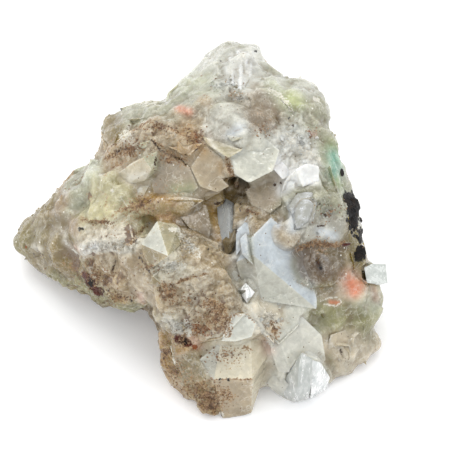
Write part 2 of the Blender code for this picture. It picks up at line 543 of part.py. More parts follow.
def covered(surface, place, size):
    """Whether a ball of this size at this place stays inside the silhouette of the display side."""
    right = Vector((1, 0, 0))
    for step in range(8):
        angle = step * math.tau / 8
        offset = (right * math.cos(angle) + UP_THE_PICTURE * math.sin(angle)) * size
        eye = place + offset * OVERHANG_SHARE + TO_VIEWER * FAR
        if surface.ray_cast(eye, -TO_VIEWER)[0] is None:
            return False
    return True


def break_mesh(number, across, along, size, depth):
    """A blunt shape that leaves a hollow of this depth in the underside."""
    lean_axis = Vector((1, 0, 0)).lerp(Vector((0, 1, 0)), chance.random())
    tilt = Quaternion(lean_axis, chance.choice((-1, 1)) * chance.uniform(0.5, 1) * BREAK_TILT)
    top = size * CHUNK_LEVELS[0][0]
    middle = Vector((across, along, depth - top))
    return hull_mesh(f"break_{number}", [middle + tilt @ point for point in chunk_points(size)])


def crowded(grown, place, size):
    """Whether a small crystal of this size here would stand too close to one of these."""
    return any((place - other).length < SPACING * (size + near) for other, near in grown)


def grow_patch(growth, surface, patch):
    """Scatters the patch's small crystals where a look from the viewer meets the surface."""
    grown = []
    for number in range(patch.count * TRIES):
        angle = chance.uniform(0, math.tau)
        out = math.sqrt(chance.random())
        across = patch.centre[0] + patch.reach[0] * out * math.cos(angle)
        up = patch.centre[1] + patch.reach[1] * out * math.sin(angle)
        size = chance.uniform(*patch.size)
        eye = Vector((across, 0, 0)) + UP_THE_PICTURE * up + TO_VIEWER * FAR
        place, normal, _, _ = surface.ray_cast(eye, -TO_VIEWER)
        if place is None or crowded(grown, place, size) or not covered(surface, place, size):
            continue
        growth.add(small_crystal(f"{patch.name}_{number}", patch.kind, size, place, normal))
        grown.append((place, size))
        if len(grown) == patch.count:
            break


def pit_mesh(surface, name, across, up, size):
    """The rhombohedral cavity that a crystal left, where a look from the viewer meets the surface."""
    eye = Vector((across, 0, 0)) + UP_THE_PICTURE * up + TO_VIEWER * FAR
    place = surface.ray_cast(eye, -TO_VIEWER)[0]
    turn = TO_VIEWER.to_track_quat("Z", "Y")
    middle = place - TO_VIEWER * size * PIT_SUNK
    return hull_mesh(name, [middle + turn @ point for point in rhomb_points(size)])


def grow_back(growth, surface, kind, count, sizes):
    """Covers the back and the sides with coarser growth that stays out of the viewer's sight."""
    grown = []
    for number in range(count * TRIES):
        bearing = chance.uniform(math.radians(-35), math.radians(215))
        rise = math.asin(chance.uniform(-0.3, 0.9))
        level = Vector((math.cos(bearing), math.sin(bearing), 0))
        way = level * math.cos(rise) + Vector((0, 0, math.sin(rise)))
        place, normal, _, _ = surface.ray_cast(BODY_CENTRE + way * FAR, -way)
        if place is None or normal.dot(TO_VIEWER) > FACING_VIEWER:
            continue
        size = chance.uniform(*sizes)
        if place.z < LEAST_CLEARANCE or crowded(grown, place, size * BACK_CROWDING):
            continue
        if not hidden(surface, place, size):
            continue
        growth.add(small_crystal(f"back_{kind}_{number}", kind, size, place, normal))
        grown.append((place, size * BACK_CROWDING))
        if len(grown) == count:
            break


def hidden(surface, place, size):
    """Whether the display side hides a ball of this size at this place from the viewer."""
    right = Vector((1, 0, 0))
    for step in range(8):
        angle = step * math.tau / 8
        spot = place + (right * math.cos(angle) + UP_THE_PICTURE * math.sin(angle)) * size
        hit = surface.ray_cast(spot + TO_VIEWER * FAR, -TO_VIEWER)[0]
        if hit is None or (hit - spot).dot(TO_VIEWER) < size:
            return False
    return True


def body_block(name, corners):
    return hull_mesh(name, [jittered(Vector(corner)) for corner in corners])


def helper(collection, mesh):
    """An object that is only joined to the specimen or cut from it."""
    shape = bpy.data.objects.new(mesh.name, mesh)
    shape.hide_render = True
    shape.display_type = "WIRE"
    collection.objects.link(shape)


class Growth:
    """Collects the shapes to be joined, and finds where their common surface lies."""

    def __init__(self, collection):
        self.collection = collection
        self.points = []
        self.faces = []

    def note(self, mesh):
        """Counts the mesh as surface."""
        start = len(self.points)
        self.points += [vert.co / MM for vert in mesh.vertices]
        self.faces += [[start + i for i in face.vertices] for face in mesh.polygons]

    def add(self, mesh):
        """Counts the mesh as surface and as a shape to be joined."""
        self.note(mesh)
        helper(self.collection, mesh)

    def surface(self):
        return BVHTree.FromPolygons(self.points, self.faces)


def saw_block():
    """The block whose top is the flat underside of the specimen."""
    shape = bmesh.new()
    place = Matrix.Translation((0, SAW_SIDE / 4 * MM, -SAW_DEPTH / 2 * MM))
    sides = Matrix.Diagonal((SAW_SIDE * MM, SAW_SIDE * MM, SAW_DEPTH * MM, 1))
    bmesh.ops.create_cube(shape, size=1, matrix=place @ sides)
    mesh = bpy.data.meshes.new("saw_block")
    shape.to_mesh(mesh)
    shape.free()
    return mesh


def calcite_material():
    material = bpy.data.materials.new("calcite_beige_translucent")
    material.use_nodes = True
    shader = material.node_tree.nodes["Principled BSDF"]
    shader.inputs["Base Color"].default_value = (0.462, 0.392, 0.287, 1)
    shader.inputs["Roughness"].default_value = 0.35
    shader.inputs["Metallic"].default_value = 0.0
    return material


def boolean(target, name, operation):
    step = target.modifiers.new(name, "BOOLEAN")
    step.operation = operation
    step.solver = "EXACT"
    return step


def shell_of(vert):
    """All vertices that edges join to this one."""
    shell = {vert}
    reached = [vert]
    while reached:
        for edge in reached.pop().link_edges:
            near = set(edge.verts) - shell
            shell |= near
            reached += near
    return shell


def bottom_middle(shape):
    """The middle of the bottom of the box around the shape."""
    low, high = ([side(vert.co[i] for vert in shape.verts) for i in range(3)] for side in (min, max))
    return Vector(((low[0] + high[0]) / 2, (low[1] + high[1]) / 2, low[2]))


def grown_together(obj):
    """The object's mesh after its modifiers, standing on the world origin.

    It keeps the outer shell only, and makes split flat faces whole.
    """
    evaluated = obj.evaluated_get(bpy.context.evaluated_depsgraph_get())
    shape = bmesh.new()
    shape.from_mesh(evaluated.to_mesh())
    outermost = min(shape.verts, key=lambda vert: vert.co.x)
    outer = shell_of(outermost)
    cavities = [vert for vert in shape.verts if vert not in outer]
    bmesh.ops.delete(shape, geom=cavities, context="VERTS")
    bmesh.ops.dissolve_limit(shape, angle_limit=FLAT_WITHIN, verts=shape.verts, edges=shape.edges)
    bmesh.ops.triangulate(shape, faces=shape.faces)
    bmesh.ops.translate(shape, vec=-bottom_middle(shape), verts=shape.verts)
    mesh = bpy.data.meshes.new(obj.name)
    shape.to_mesh(mesh)
    shape.free()
    mesh.materials.append(obj.data.materials[0])
    return mesh


def clear_scene():
    for old in list(bpy.data.objects):
        bpy.data.objects.remove(old, do_unlink=True)


def new_collection(name):
    collection = bpy.data.collections.new(name)
    bpy.context.scene.collection.children.link(collection)
    return collection


def main():
    clear_scene()
    specimen = new_collection("calcite_specimen")
    growth = Growth(new_collection("grown_shapes"))
    cutters = new_collection("cutters")

    blocks = iter(BODY.items())
    heart = bpy.data.objects.new(NODE, body_block(*next(blocks)))
    specimen.objects.link(heart)
    heart.data.materials.append(calcite_material())
    growth.note(heart.data)
    for name, corners in blocks:
        growth.add(body_block(name, corners))
    for crystal in DISPLAY_MASSES + DISPLAY_CRYSTALS:
        growth.add(display_crystal(crystal))
    surface = growth.surface()
    for patch in PATCHES:
        grow_patch(growth, surface, patch)
    for kind, count, sizes in BACK_GROWTH:
        grow_back(growth, growth.surface(), kind, count, sizes)

    for pit in PITS:
        helper(cutters, pit_mesh(surface, *pit))
    for number, hollow_left in enumerate(UNDERSIDE_BREAKS):
        helper(cutters, break_mesh(number, *hollow_left))
    helper(cutters, saw_block())

    grow = boolean(heart, "grow_together", "UNION")
    grow.operand_type = "COLLECTION"
    grow.collection = growth.collection
    hollow = boolean(heart, "hollow_out", "DIFFERENCE")
    hollow.operand_type = "COLLECTION"
    hollow.collection = cutters
    whole = grown_together(heart)
    heart.modifiers.clear()
    heart.data = whole


main()
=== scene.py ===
"""A calcite specimen on a pale studio floor.

It is one mass of crystals grown together, with clear crystals set in it and with brown, white and
black grains grown on it. Its display side is laid out on a sheet held square to a viewer who looks
down at VIEW_TILT. A place on the sheet is (u, v), u to the right and v down, SHEET_MM apart.
"""

import json
import logging
import math
import random
from collections.abc import Iterator
from dataclasses import dataclass
from enum import Enum

import bmesh
import bpy
import numpy as np
from mathutils import Matrix as Matrix4
from mathutils import Quaternion, Vector, noise
from mathutils.bvhtree import BVHTree
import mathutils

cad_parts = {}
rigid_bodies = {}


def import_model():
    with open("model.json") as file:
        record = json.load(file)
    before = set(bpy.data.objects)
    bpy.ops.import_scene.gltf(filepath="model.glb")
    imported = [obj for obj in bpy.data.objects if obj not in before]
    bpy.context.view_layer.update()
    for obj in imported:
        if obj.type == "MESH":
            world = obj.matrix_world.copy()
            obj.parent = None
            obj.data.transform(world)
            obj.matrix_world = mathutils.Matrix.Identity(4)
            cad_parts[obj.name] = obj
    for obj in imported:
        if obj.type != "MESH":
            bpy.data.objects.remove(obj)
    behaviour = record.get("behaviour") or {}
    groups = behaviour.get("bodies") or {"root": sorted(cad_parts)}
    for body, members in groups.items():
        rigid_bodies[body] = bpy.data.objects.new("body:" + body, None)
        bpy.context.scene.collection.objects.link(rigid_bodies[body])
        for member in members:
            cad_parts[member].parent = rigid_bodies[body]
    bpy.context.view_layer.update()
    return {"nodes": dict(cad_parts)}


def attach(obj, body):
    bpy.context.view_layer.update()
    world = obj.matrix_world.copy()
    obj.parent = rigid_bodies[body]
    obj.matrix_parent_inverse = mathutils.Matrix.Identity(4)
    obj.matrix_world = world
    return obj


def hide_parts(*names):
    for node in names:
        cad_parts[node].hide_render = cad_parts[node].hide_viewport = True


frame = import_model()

MM = 0.001
NODE = "calcite_cluster"
BODY = "root"
WELD = 1e-6
LOG = logging.getLogger("calcite")

VIEW_TILT = math.radians(50)
SHEET_MM = 0.2148
SHEET_FOOT = (198, 422)  # where the specimen's foot lies on the sheet
SHEET_MIDDLE = (225, 225)
SHEET_SIDE = 450
SHEEN = 0.06  # what the white tent adds to a colour by reflection
TENT_LIGHT = (1.34, 1.35, 1.4)  # how much brighter than its own colour a face is seen
CRISP_LIGHT = (1.17, 1.18, 1.22)  # the same for a flat crystal face
DULL_SHEEN = 0.02  # what the tent adds to an earthy stain
FOOT = Vector((-0.02, -41.465, 0.0))  # the same foot in the frame, mm
RIGHT = Vector((1, 0, 0))
UP = Vector((0, math.sin(VIEW_TILT), math.cos(VIEW_TILT)))
NEAR = Vector((0, -math.cos(VIEW_TILT), math.sin(VIEW_TILT)))
FAR = 200.0  # mm, well clear of the specimen
BEHIND = (-15, 195)  # bearings in degrees that the display side hides

Colour = tuple[float, float, float]
Spot = tuple[float, float]
Tree = bpy.types.NodeTree
Node = bpy.types.Node
Socket = bpy.types.NodeSocket


class Tone(Enum):
    """Colours of the massive calcite as seen, some with painted light and shade in them, as sRGB
    hex.
    """

    WAX = "908260"
    OLIVE_WAX = "827241"
    YELLOW_GREEN = "C6BF98"
    PALE_GREEN = "C2C4AF"
    GREEN_GREY = "A8A790"
    BEIGE = "BBAC93"
    GREY_BEIGE = "ACA08D"
    TAUPE = "908370"
    TAN = "B6A486"
    BROWN_TAN = "A38E6F"
    MILK = "D8D9D1"
    WHITE = "E2E2DD"
    # painted reflection: the bluish white that a glossy face mirrors from the softbox
    PAINTED_SOFTBOX_REFLECTION = "BDC4CA"
    CLEAR_GREY = "CACAC0"
    PINK_BEIGE = "C6BAA4"
    CREAM = "C6BDA8"
    OCHRE_WAX = "A8946A"
    OLIVE = "A5A27A"
    SMOKE = "786A4A"
    GLASS_GREY = "BBB9AE"
    PALE_STONE = "D6CFBC"
    STONE = "C0B49E"
    SAND = "B0A28B"
    GREY_OLIVE = "A39C81"
    PALE_OLIVE = "B7B6A2"
    PALE_GREY = "D2D1C8"
    SNOW = "F2F1F2"
    PEARL = "EAE1CE"


class Habit(Enum):
    """How a face of the mass was formed."""

    CRISP = 0  # a flat crystal face
    WAXY = 1  # a smooth rounded swell
    SUGARY = 2  # fine granular growth


class Stain(Enum):
    """Colours of what stains or coats the calcite, and of a painted reflection on it, as sRGB hex.
    """

    BROWN = "8A6747"
    DARK = "4A3626"
    OCHRE = "B0883F"
    RUST = "96583A"
    RED = "5A1F17"
    SALMON = "F29A78"
    ORANGE = "F28860"
    PINK = "DDB7A6"
    TEAL = "74B09C"
    GREEN = "9AAA7C"
    LIME = "C3CC8C"
    OLIVE = "85825A"
    SMOKE = "7A6B50"
    WHITE = "EBE7DC"
    CHALK = "F3F4F4"
    # painted reflection: the bluish white gleam of the tent on glossy faces
    PAINTED_BLUE_GLEAM = "DCE4EE"
    UMBER = "6E5A3C"
    BLACK = "1B1612"


def linear(code: str) -> Colour:
    """Linear red, green and blue of an sRGB hex colour.

    Args:
        code: six hex digits.

    Returns:
        The three linear values.
    """
    parts = [int(code[i : i + 2], 16) / 255 for i in (0, 2, 4)]
    return tuple(p / 12.92 if p <= 0.04045 else ((p + 0.055) / 1.055) ** 2.4 for p in parts)


def own_colour(code: str, light: Colour = TENT_LIGHT, sheen: float = SHEEN) -> np.ndarray:
    """The linear colour that is seen as a hex colour in the tent.

    Args:
        code: six hex digits, as seen.
        light: how much brighter than its own colour it is seen, for each of the three.
        sheen: what reflection adds to it.

    Returns:
        Red, green and blue.
    """
    return np.clip((np.array(linear(code)) - sheen) / np.array(light), 0.004, 0.9)


def empty_material(name: str) -> bpy.types.Material:
    """A new material with an empty node tree.

    Args:
        name: the material's name.

    Returns:
        The material.
    """
    made = bpy.data.materials.new(name)
    made.use_nodes = True
    made.node_tree.nodes.clear()
    return made


def add_node(
    tree: Tree, kind: str, inputs: dict[str, object] | tuple[object, ...] = (), **settings: object
) -> Node:
    """Adds a node with its settings and links.

    Args:
        tree: the material's node tree.
        kind: the node's type, without the ShaderNode that all of them start with.
        inputs: what goes into its inputs, by name, or in the order of those in use. Each is a
            value, a socket that feeds it, or a node, which feeds it from its first output in use.
        settings: the node's own properties.

    Returns:
        The new node.
    """
    made = tree.nodes.new("ShaderNode" + kind)
    for name, value in settings.items():
        setattr(made, name, value)
    if isinstance(inputs, dict):
        pairs = [(made.inputs[name], value) for name, value in inputs.items()]
    else:
        pairs = list(zip([socket for socket in made.inputs if socket.enabled], inputs))
    for socket, value in pairs:
        if isinstance(value, Node):
            value = next(output for output in value.outputs if output.enabled)
        if isinstance(value, Socket):
            tree.links.new(value, socket)
        else:
            socket.default_value = value
    return made


def per(period: float) -> float:
    """The noise scale of a pattern that repeats about every so many millimetres."""
    return 1 / (period * MM)


def rgba(code: str) -> tuple[float, float, float, float]:
    """A hex colour as a node's colour value."""
    return (*linear(code), 1.0)


def sheet_place(u: float, v: float) -> Vector:
    """The point of the sheet itself at a place on it, in mm from the specimen's foot."""
    return RIGHT * (u - SHEET_FOOT[0]) * SHEET_MM + UP * (SHEET_FOOT[1] - v) * SHEET_MM


def display_point(across: float, up: float, height: float) -> Vector:
    """Where a point of the display side lies.

    Args:
        across: mm to the right of the foot.
        up: mm up the sheet from the foot.
        height: mm above the table.

    Returns:
        The point in the frame, in metres.
    """
    depth = (up - height * math.cos(VIEW_TILT)) / math.sin(VIEW_TILT)
    return (Vector((across, depth, height)) + FOOT) * MM


def mesh_object(name: str, shape: bmesh.types.BMesh) -> bpy.types.Object:
    """Turns a finished bmesh into an object of the scene.

    Args:
        name: the object's name.
        shape: the bmesh, which is freed.

    Returns:
        The new object, at the origin.
    """
    mesh = bpy.data.meshes.new(name)
    shape.to_mesh(mesh)
    shape.free()
    made = bpy.data.objects.new(name, mesh)
    bpy.context.scene.collection.objects.link(made)
    return made


def report(piece: bpy.types.Object) -> None:
    """Ties a finished piece to the specimen and reports it.

    Args:
        piece: the piece.
    """
    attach(piece, BODY)
    LOG.info("%s: %d faces", piece.name, len(piece.data.polygons))


@dataclass(frozen=True)
class MassiveCalcite:
    """Massive calcite: grown and broken, waxy and translucent, coloured by what grew with it.

    Light goes a few millimetres in and comes out warm, so that edges glow and hollows stay soft.
    """

    name: str = "massive_calcite_grown_and_broken"
    roughness: tuple[float, float] = (0.14, 0.38)
    ior: float = 1.57
    subsurface: float = 0.45
    glow_mm: tuple[float, float, float] = (2.5, 2.2, 1.8)
    clouds: tuple[tuple[float, float], ...] = ((7.0, 3), (1.6, 4), (0.42, 3))  # mm and detail
    crystal_sizes: tuple[tuple[float, float, float], ...] = (
        (3.2, 0.5, 0.06), (1.5, 1.2, 0.08), (0.7, 2.1, 0.07)
    )  # mm, turn in radians and how much lighter or darker one is
    bend_mm: float = 3.0  # how far the rows of small crystals bend
    crack_bend_mm: float = 4.0

    def material(self) -> bpy.types.Material:
        """Builds the material once. It reads the colours and amounts kept in the mesh.

        Returns:
            The material.
        """
        if self.name in bpy.data.materials:
            return bpy.data.materials[self.name]
        made = empty_material(self.name)
        tree = made.node_tree
        place = add_node(tree, "TexCoord").outputs["Object"]
        tone, stain = (
            add_node(tree, "Attribute", attribute_name=name).outputs["Color"]
            for name in ("tone", "stain")
        )
        amount, crest, crevice, sugar, earth, seam = (
            add_node(tree, "Attribute", attribute_name=name).outputs["Fac"]
            for name in ("stain_amount", "crest", "crevice", "sugar", "earth", "seam")
        )
        broad, mottle, grain = (
            add_node(
                tree,
                "TexNoise",
                {"Vector": place, "Scale": per(period), "Detail": detail, "Roughness": 0.6},
            )
            for period, detail in self.clouds
        )
        shade = add_node(tree, "MapRange", (broad, 0.3, 0.7, 0.84, 1.12))
        fine = add_node(tree, "MapRange", (mottle, 0.3, 0.7, 0.9, 1.08))
        both = add_node(tree, "Math", (shade, fine), operation="MULTIPLY")
        standing, both = self.small_crystals(tree, place, both)
        base = add_node(tree, "VectorMath", (tone, both), operation="SCALE")
        for code, share in (
            ("DAD6C9", self.veil(tree, place, sugar)),
            ("DCD9CE", self.fractures(tree, place)),
            ("6E5A42", self.specks(tree, place, 1.1, 0.17)),
            ("E0DCD0", self.specks(tree, place, 1.7, 0.13)),
            # brown grit in the fine crevices, darkened there as painted shade
            ("6A5236", self.broken(tree, crevice, mottle, 0.38)),
            # painted highlight along the fine crests
            ("D9D6CB", self.broken(tree, crest, grain, 0.26)),
        ):
            base = add_node(tree, "Mix", (share, base, rgba(code)), data_type="RGBA")
        base = self.seams(tree, base, seam, earth, grain)
        base, earthy = self.earthy(tree, base, earth, mottle, grain)
        stained = self.stain_mask(tree, amount, mottle, grain)
        varied = add_node(tree, "VectorMath", (stain, both), operation="SCALE")
        base = add_node(tree, "Mix", (stained, base, varied), data_type="RGBA")
        rough = add_node(tree, "MapRange", (mottle, 0.3, 0.7, *self.roughness))
        rough = add_node(tree, "Math", (rough, sugar, 0.12), operation="MULTIPLY_ADD")
        covered = add_node(tree, "Math", (earthy, stained), operation="MAXIMUM")
        gloss = add_node(tree, "MapRange", (covered, 0, 1, 0.5, 0.08))
        coat = add_node(tree, "MapRange", (covered, 0, 1, 0.25, 0))
        relief = add_node(tree, "Math", (grain, 0.5, mottle), operation="MULTIPLY_ADD")
        faceted = add_node(tree, "MapRange", (sugar, 0, 1, 0.16, 0.6))
        facets = add_node(tree, "Bump", {"Height": standing, "Strength": faceted, "Distance": 1.0})
        depth = add_node(tree, "MapRange", (sugar, 0, 1, 0.1, 0.55))
        bump = add_node(
            tree,
            "Bump",
            {"Height": relief, "Strength": depth, "Distance": 0.35 * MM, "Normal": facets},
        )
        shader = add_node(
            tree,
            "BsdfPrincipled",
            {
                "Base Color": base,
                "Roughness": rough,
                "IOR": self.ior,
                "Subsurface Weight": self.subsurface,
                "Subsurface Radius": tuple(reach / self.glow_mm[0] for reach in self.glow_mm),
                "Subsurface Scale": self.glow_mm[0] * MM,
                "Specular IOR Level": gloss,
                "Coat Weight": coat,
                "Coat Roughness": 0.08,
                "Normal": bump,
            },
        )
        add_node(tree, "OutputMaterial", {"Surface": shader})
        return made

    def small_crystals(self, tree: Tree, place: Socket, shade: Node) -> tuple[Node, Node]:
        """Flat faces of small crystals of three sizes, each crystal a little lighter or darker.

        Args:
            tree: the material's node tree.
            place: the point that is shaded.
            shade: how light it is so far.

        Returns:
            How far each point stands out, in metres, and the new shade.
        """
        bend = add_node(tree, "TexNoise", {"Vector": place, "Scale": per(7.0), "Detail": 1})
        bent = add_node(
            tree,
            "VectorMath",
            (bend.outputs["Color"], (self.bend_mm * MM,) * 3, place),
            operation="MULTIPLY_ADD",
        )
        height: Node | float = 0.0
        for size, turn, varied in self.crystal_sizes:
            turned = add_node(
                tree, "Mapping", {"Vector": bent, "Rotation": (turn, turn * 0.7, turn)}
            )
            cells = add_node(
                tree, "TexVoronoi", {"Vector": turned, "Scale": per(size)}, distance="CHEBYCHEV"
            )
            own = add_node(tree, "MapRange", (cells.outputs["Color"], 0, 1, 1 - varied, 1 + varied))
            shade = add_node(tree, "Math", (shade, own), operation="MULTIPLY")
            height = add_node(tree, "Math", (cells, -size * MM, height), operation="MULTIPLY_ADD")
        return height, shade

    def seams(self, tree: Tree, base: Node, seam: Socket, earth: Socket, grain: Node) -> Node:
        """Draws the seams between small crystals in brown, where earth lies.

        Args:
            tree: the material's node tree.
            base: the base colour so far.
            seam: how near a seam each point lies.
            earth: how much earth lies there.
            grain: noise as wide as a grain.

        Returns:
            The new base colour.
        """
        rough = add_node(tree, "Math", (grain, 0.5, seam), operation="MULTIPLY_ADD")
        line = add_node(tree, "MapRange", (rough, 0.85, 1.1, 0, 0.8))
        browned = add_node(tree, "MapRange", (earth, 0.05, 0.3))
        brown = add_node(tree, "Mix", (browned, base, rgba("5E4029")), data_type="RGBA")
        return add_node(tree, "Mix", (line, base, brown), data_type="RGBA")

    def earthy(
        self, tree: Tree, base: Node, earth: Socket, mottle: Node, grain: Node
    ) -> tuple[Node, Node]:
        """Lays brown earthy grains over the base, denser where more of them is kept.

        Args:
            tree: the material's node tree.
            base: the base colour so far.
            earth: how much earth is kept in the mesh.
            mottle: noise as wide as a small crystal.
            grain: noise as wide as a grain.

        Returns:
            The new base colour and where the grains lie.
        """
        loose = add_node(tree, "Math", (grain, 2.4, earth), operation="MULTIPLY_ADD")
        thick = add_node(tree, "Math", (mottle, 0.8, loose), operation="MULTIPLY_ADD")
        mask = add_node(tree, "MapRange", (thick, 2.12, 2.26, 0, 0.85))
        ramp = add_node(tree, "ValToRGB", (add_node(tree, "MapRange", (thick, 2.15, 2.6)),))
        for element, code in zip(ramp.color_ramp.elements, ("AC8C66", "52351F")):
            element.color = rgba(code)
        return add_node(tree, "Mix", (mask, base, ramp), data_type="RGBA"), mask

    def veil(self, tree: Tree, place: Socket, sugar: Socket) -> Node:
        """Whitish veils of tiny fractures, thicker where the growth is sugary.

        Args:
            tree: the material's node tree.
            place: the point that is shaded.
            sugar: how sugary the growth is.

        Returns:
            How much veil lies over each point.
        """
        wisps = add_node(
            tree,
            "TexNoise",
            {"Vector": place, "Scale": per(2.4), "Detail": 5, "Roughness": 0.7, "Distortion": 0.8},
        )
        most = add_node(tree, "MapRange", (sugar, 0, 1, 0.12, 0.38))
        return add_node(tree, "MapRange", (wisps, 0.52, 0.68, 0, most))

    def fractures(self, tree: Tree, place: Socket) -> Node:
        """Thin pale lines where light catches cracks inside.

        Args:
            tree: the material's node tree.
            place: the point that is shaded.

        Returns:
            How much of a line lies over each point.
        """
        bend = add_node(
            tree,
            "TexNoise",
            {"Vector": place, "Scale": per(3.0), "Detail": 3, "Roughness": 0.6},
        )
        bent = add_node(
            tree,
            "VectorMath",
            (bend.outputs["Color"], (self.crack_bend_mm * MM,) * 3, place),
            operation="MULTIPLY_ADD",
        )
        cells = add_node(
            tree, "TexVoronoi", {"Vector": bent, "Scale": per(2.6)}, feature="DISTANCE_TO_EDGE"
        )
        line = add_node(tree, "MapRange", (cells, 0, 0.045, 1, 0))
        patchy = add_node(tree, "MapRange", (bend, 0.47, 0.62, 0, 0.38))
        return add_node(tree, "Math", (line, patchy), operation="MULTIPLY")

    def specks(self, tree: Tree, place: Socket, spacing: float, size: float) -> Node:
        """Small specks, on some of the places where they could be.

        Args:
            tree: the material's node tree.
            place: the point that is shaded.
            spacing: mm from one speck to the next.
            size: a speck's share of the spacing.

        Returns:
            How much of a speck lies over each point.
        """
        cells = add_node(
            tree, "TexVoronoi", {"Vector": place, "Scale": per(spacing), "Randomness": 1.0}
        )
        near = add_node(tree, "MapRange", (cells, size * 0.6, size, 1, 0))
        some = add_node(tree, "Math", (cells.outputs["Color"], 0.72), operation="GREATER_THAN")
        return add_node(tree, "Math", (near, some), operation="MULTIPLY")

    def broken(self, tree: Tree, kept: Socket, pattern: Node, most: float) -> Node:
        """An amount kept in the mesh, broken up by a pattern and at most so much."""
        patchy = add_node(tree, "MapRange", (pattern, 0.42, 0.6, 0, most))
        return add_node(tree, "Math", (kept, patchy), operation="MULTIPLY")

    def stain_mask(self, tree: Tree, amount: Socket, mottle: Node, grain: Node) -> Node:
        """Where a stain shows: its amount, with an edge eaten by two noises.

        Args:
            tree: the material's node tree.
            amount: how much of the stain is kept in the mesh.
            mottle: noise as wide as a small crystal.
            grain: noise as wide as a grain.

        Returns:
            How much of the stain shows.
        """
        eaten: Node | Socket = amount
        for pattern, share in ((mottle, 1.5), (grain, 1.9)):
            shift = add_node(tree, "Math", (pattern, 0.5), operation="SUBTRACT")
            eaten = add_node(tree, "Math", (shift, share, eaten), operation="MULTIPLY_ADD")
        return add_node(
            tree, "MapRange", (eaten, 0.4, 0.75, 0, 0.92), interpolation_type="SMOOTHSTEP"
        )


@dataclass(frozen=True)
class ClearSpar:
    """Clear calcite spar: a grown crystal that light goes through, with milky veils in it.

    Its faces mirror the softbox and show the bed behind them, bent and tinted by its depth.
    """

    name: str
    tint: str
    milk: str  # colour of its veils
    veiled: float  # how much of it the veils take, from 0 to 1
    through: float
    density: float = 0.0  # absorption over a metre
    roughness: float = 0.05
    ior: float = 1.58
    streaks: tuple[float, float, float] = (1.0, 0.3, 0.25)  # its veils run up the display side

    def material(self) -> bpy.types.Material:
        """Builds the material once.

        Returns:
            The material.
        """
        if self.name in bpy.data.materials:
            return bpy.data.materials[self.name]
        made = empty_material(self.name)
        tree = made.node_tree
        place = add_node(tree, "TexCoord").outputs["Object"]
        drawn = add_node(tree, "Mapping", {"Vector": place, "Scale": self.streaks})
        wisps = add_node(
            tree,
            "TexNoise",
            {"Vector": drawn, "Scale": per(1.0), "Detail": 5, "Roughness": 0.62},
        )
        edge = 0.66 - 0.3 * self.veiled
        veil = add_node(tree, "MapRange", (wisps, edge - 0.1, edge + 0.12))
        rough = add_node(tree, "MapRange", (veil, 0, 1, self.roughness, self.roughness + 0.3))
        growth = add_node(
            tree,
            "TexNoise",
            {"Vector": place, "Scale": per(1.4), "Detail": 2, "Roughness": 0.5},
        )
        bump = add_node(tree, "Bump", {"Height": growth, "Strength": 0.15, "Distance": 0.2 * MM})
        colour = add_node(tree, "Mix", (veil, rgba(self.tint), rgba(self.milk)), data_type="RGBA")
        shader = add_node(
            tree,
            "BsdfPrincipled",
            {
                "Base Color": colour,
                "Roughness": rough,
                "IOR": self.ior,
                "Transmission Weight": self.through,
                "Normal": bump,
            },
        )
        out = add_node(tree, "OutputMaterial", {"Surface": shader})
        if self.density:
            inside = add_node(
                tree, "VolumeAbsorption", {"Color": rgba(self.tint), "Density": self.density}
            )
            tree.links.new(inside.outputs[0], out.inputs["Volume"])
        return made


@dataclass(frozen=True)
class Grains:
    """A coat of small grains: each a little lighter or darker, dull where it is earthy."""

    name: str
    colours: tuple[str, str, str]
    roughness: float
    patch_mm: float = 0.9
    ior: float = 1.57

    def material(self) -> bpy.types.Material:
        """Builds the material.

        Returns:
            The material.
        """
        made = empty_material(self.name)
        tree = made.node_tree
        pattern = add_node(
            tree,
            "TexNoise",
            {
                "Vector": add_node(tree, "TexCoord").outputs["Object"],
                "Scale": per(self.patch_mm),
                "Detail": 2,
                "Roughness": 0.6,
            },
        )
        ramp = add_node(tree, "ValToRGB", (pattern,))
        stops = ramp.color_ramp.elements
        stops[0].position, stops[1].position = 0.34, 0.66
        stops.new(0.5)
        for stop, code in zip(stops, self.colours):
            stop.color = rgba(code)
        low, high = self.roughness * 0.8, min(1.0, self.roughness * 1.2)
        rough = add_node(tree, "MapRange", (pattern, 0.3, 0.7, low, high))
        shader = add_node(
            tree, "BsdfPrincipled", {"Base Color": ramp, "Roughness": rough, "IOR": self.ior}
        )
        add_node(tree, "OutputMaterial", {"Surface": shader})
        return made


CALCITE = MassiveCalcite()
CLEAR = ClearSpar(
    "calcite_spar_clear_grown", "C9CDC8", "FAFAF7", 0.45, 0.4, streaks=(1.0, 0.45, 0.35)
)
ICY = ClearSpar("calcite_spar_icy_grown", "CDD3D6", "C2C5C4", 0.6, 0.45)
SMOKY = ClearSpar("calcite_spar_smoky_grown", "8C7A58", "665B42", 0.5, 0.4, density=60)
BRIGHT = ClearSpar(
    "calcite_spar_bright_grown", "CFD3D1", "FCFCFA", 0.7, 0.2, streaks=(1.0, 0.35, 0.3)
)
MILKY = ClearSpar(
    "calcite_spar_milky_grown", "B9BEB8", "D9DCD7", 0.6, 0.15, streaks=(0.6, 0.6, 0.6)
)
GREY_GLASS = ClearSpar(
    "calcite_spar_grey_grown", "B2B2A9", "E8EAEC", 0.32, 0.35, streaks=(0.5, 0.9, 0.5)
)
BROWN_GRAINS = Grains("siderite_grains_brown_earthy", ("533A24", "7E6044", "A68A66"), 0.6)
BLACK_FLAKES = Grains("manganese_oxide_crust_sooty", ("060504", "100C0A", "261D16"), 0.6, ior=1.3)


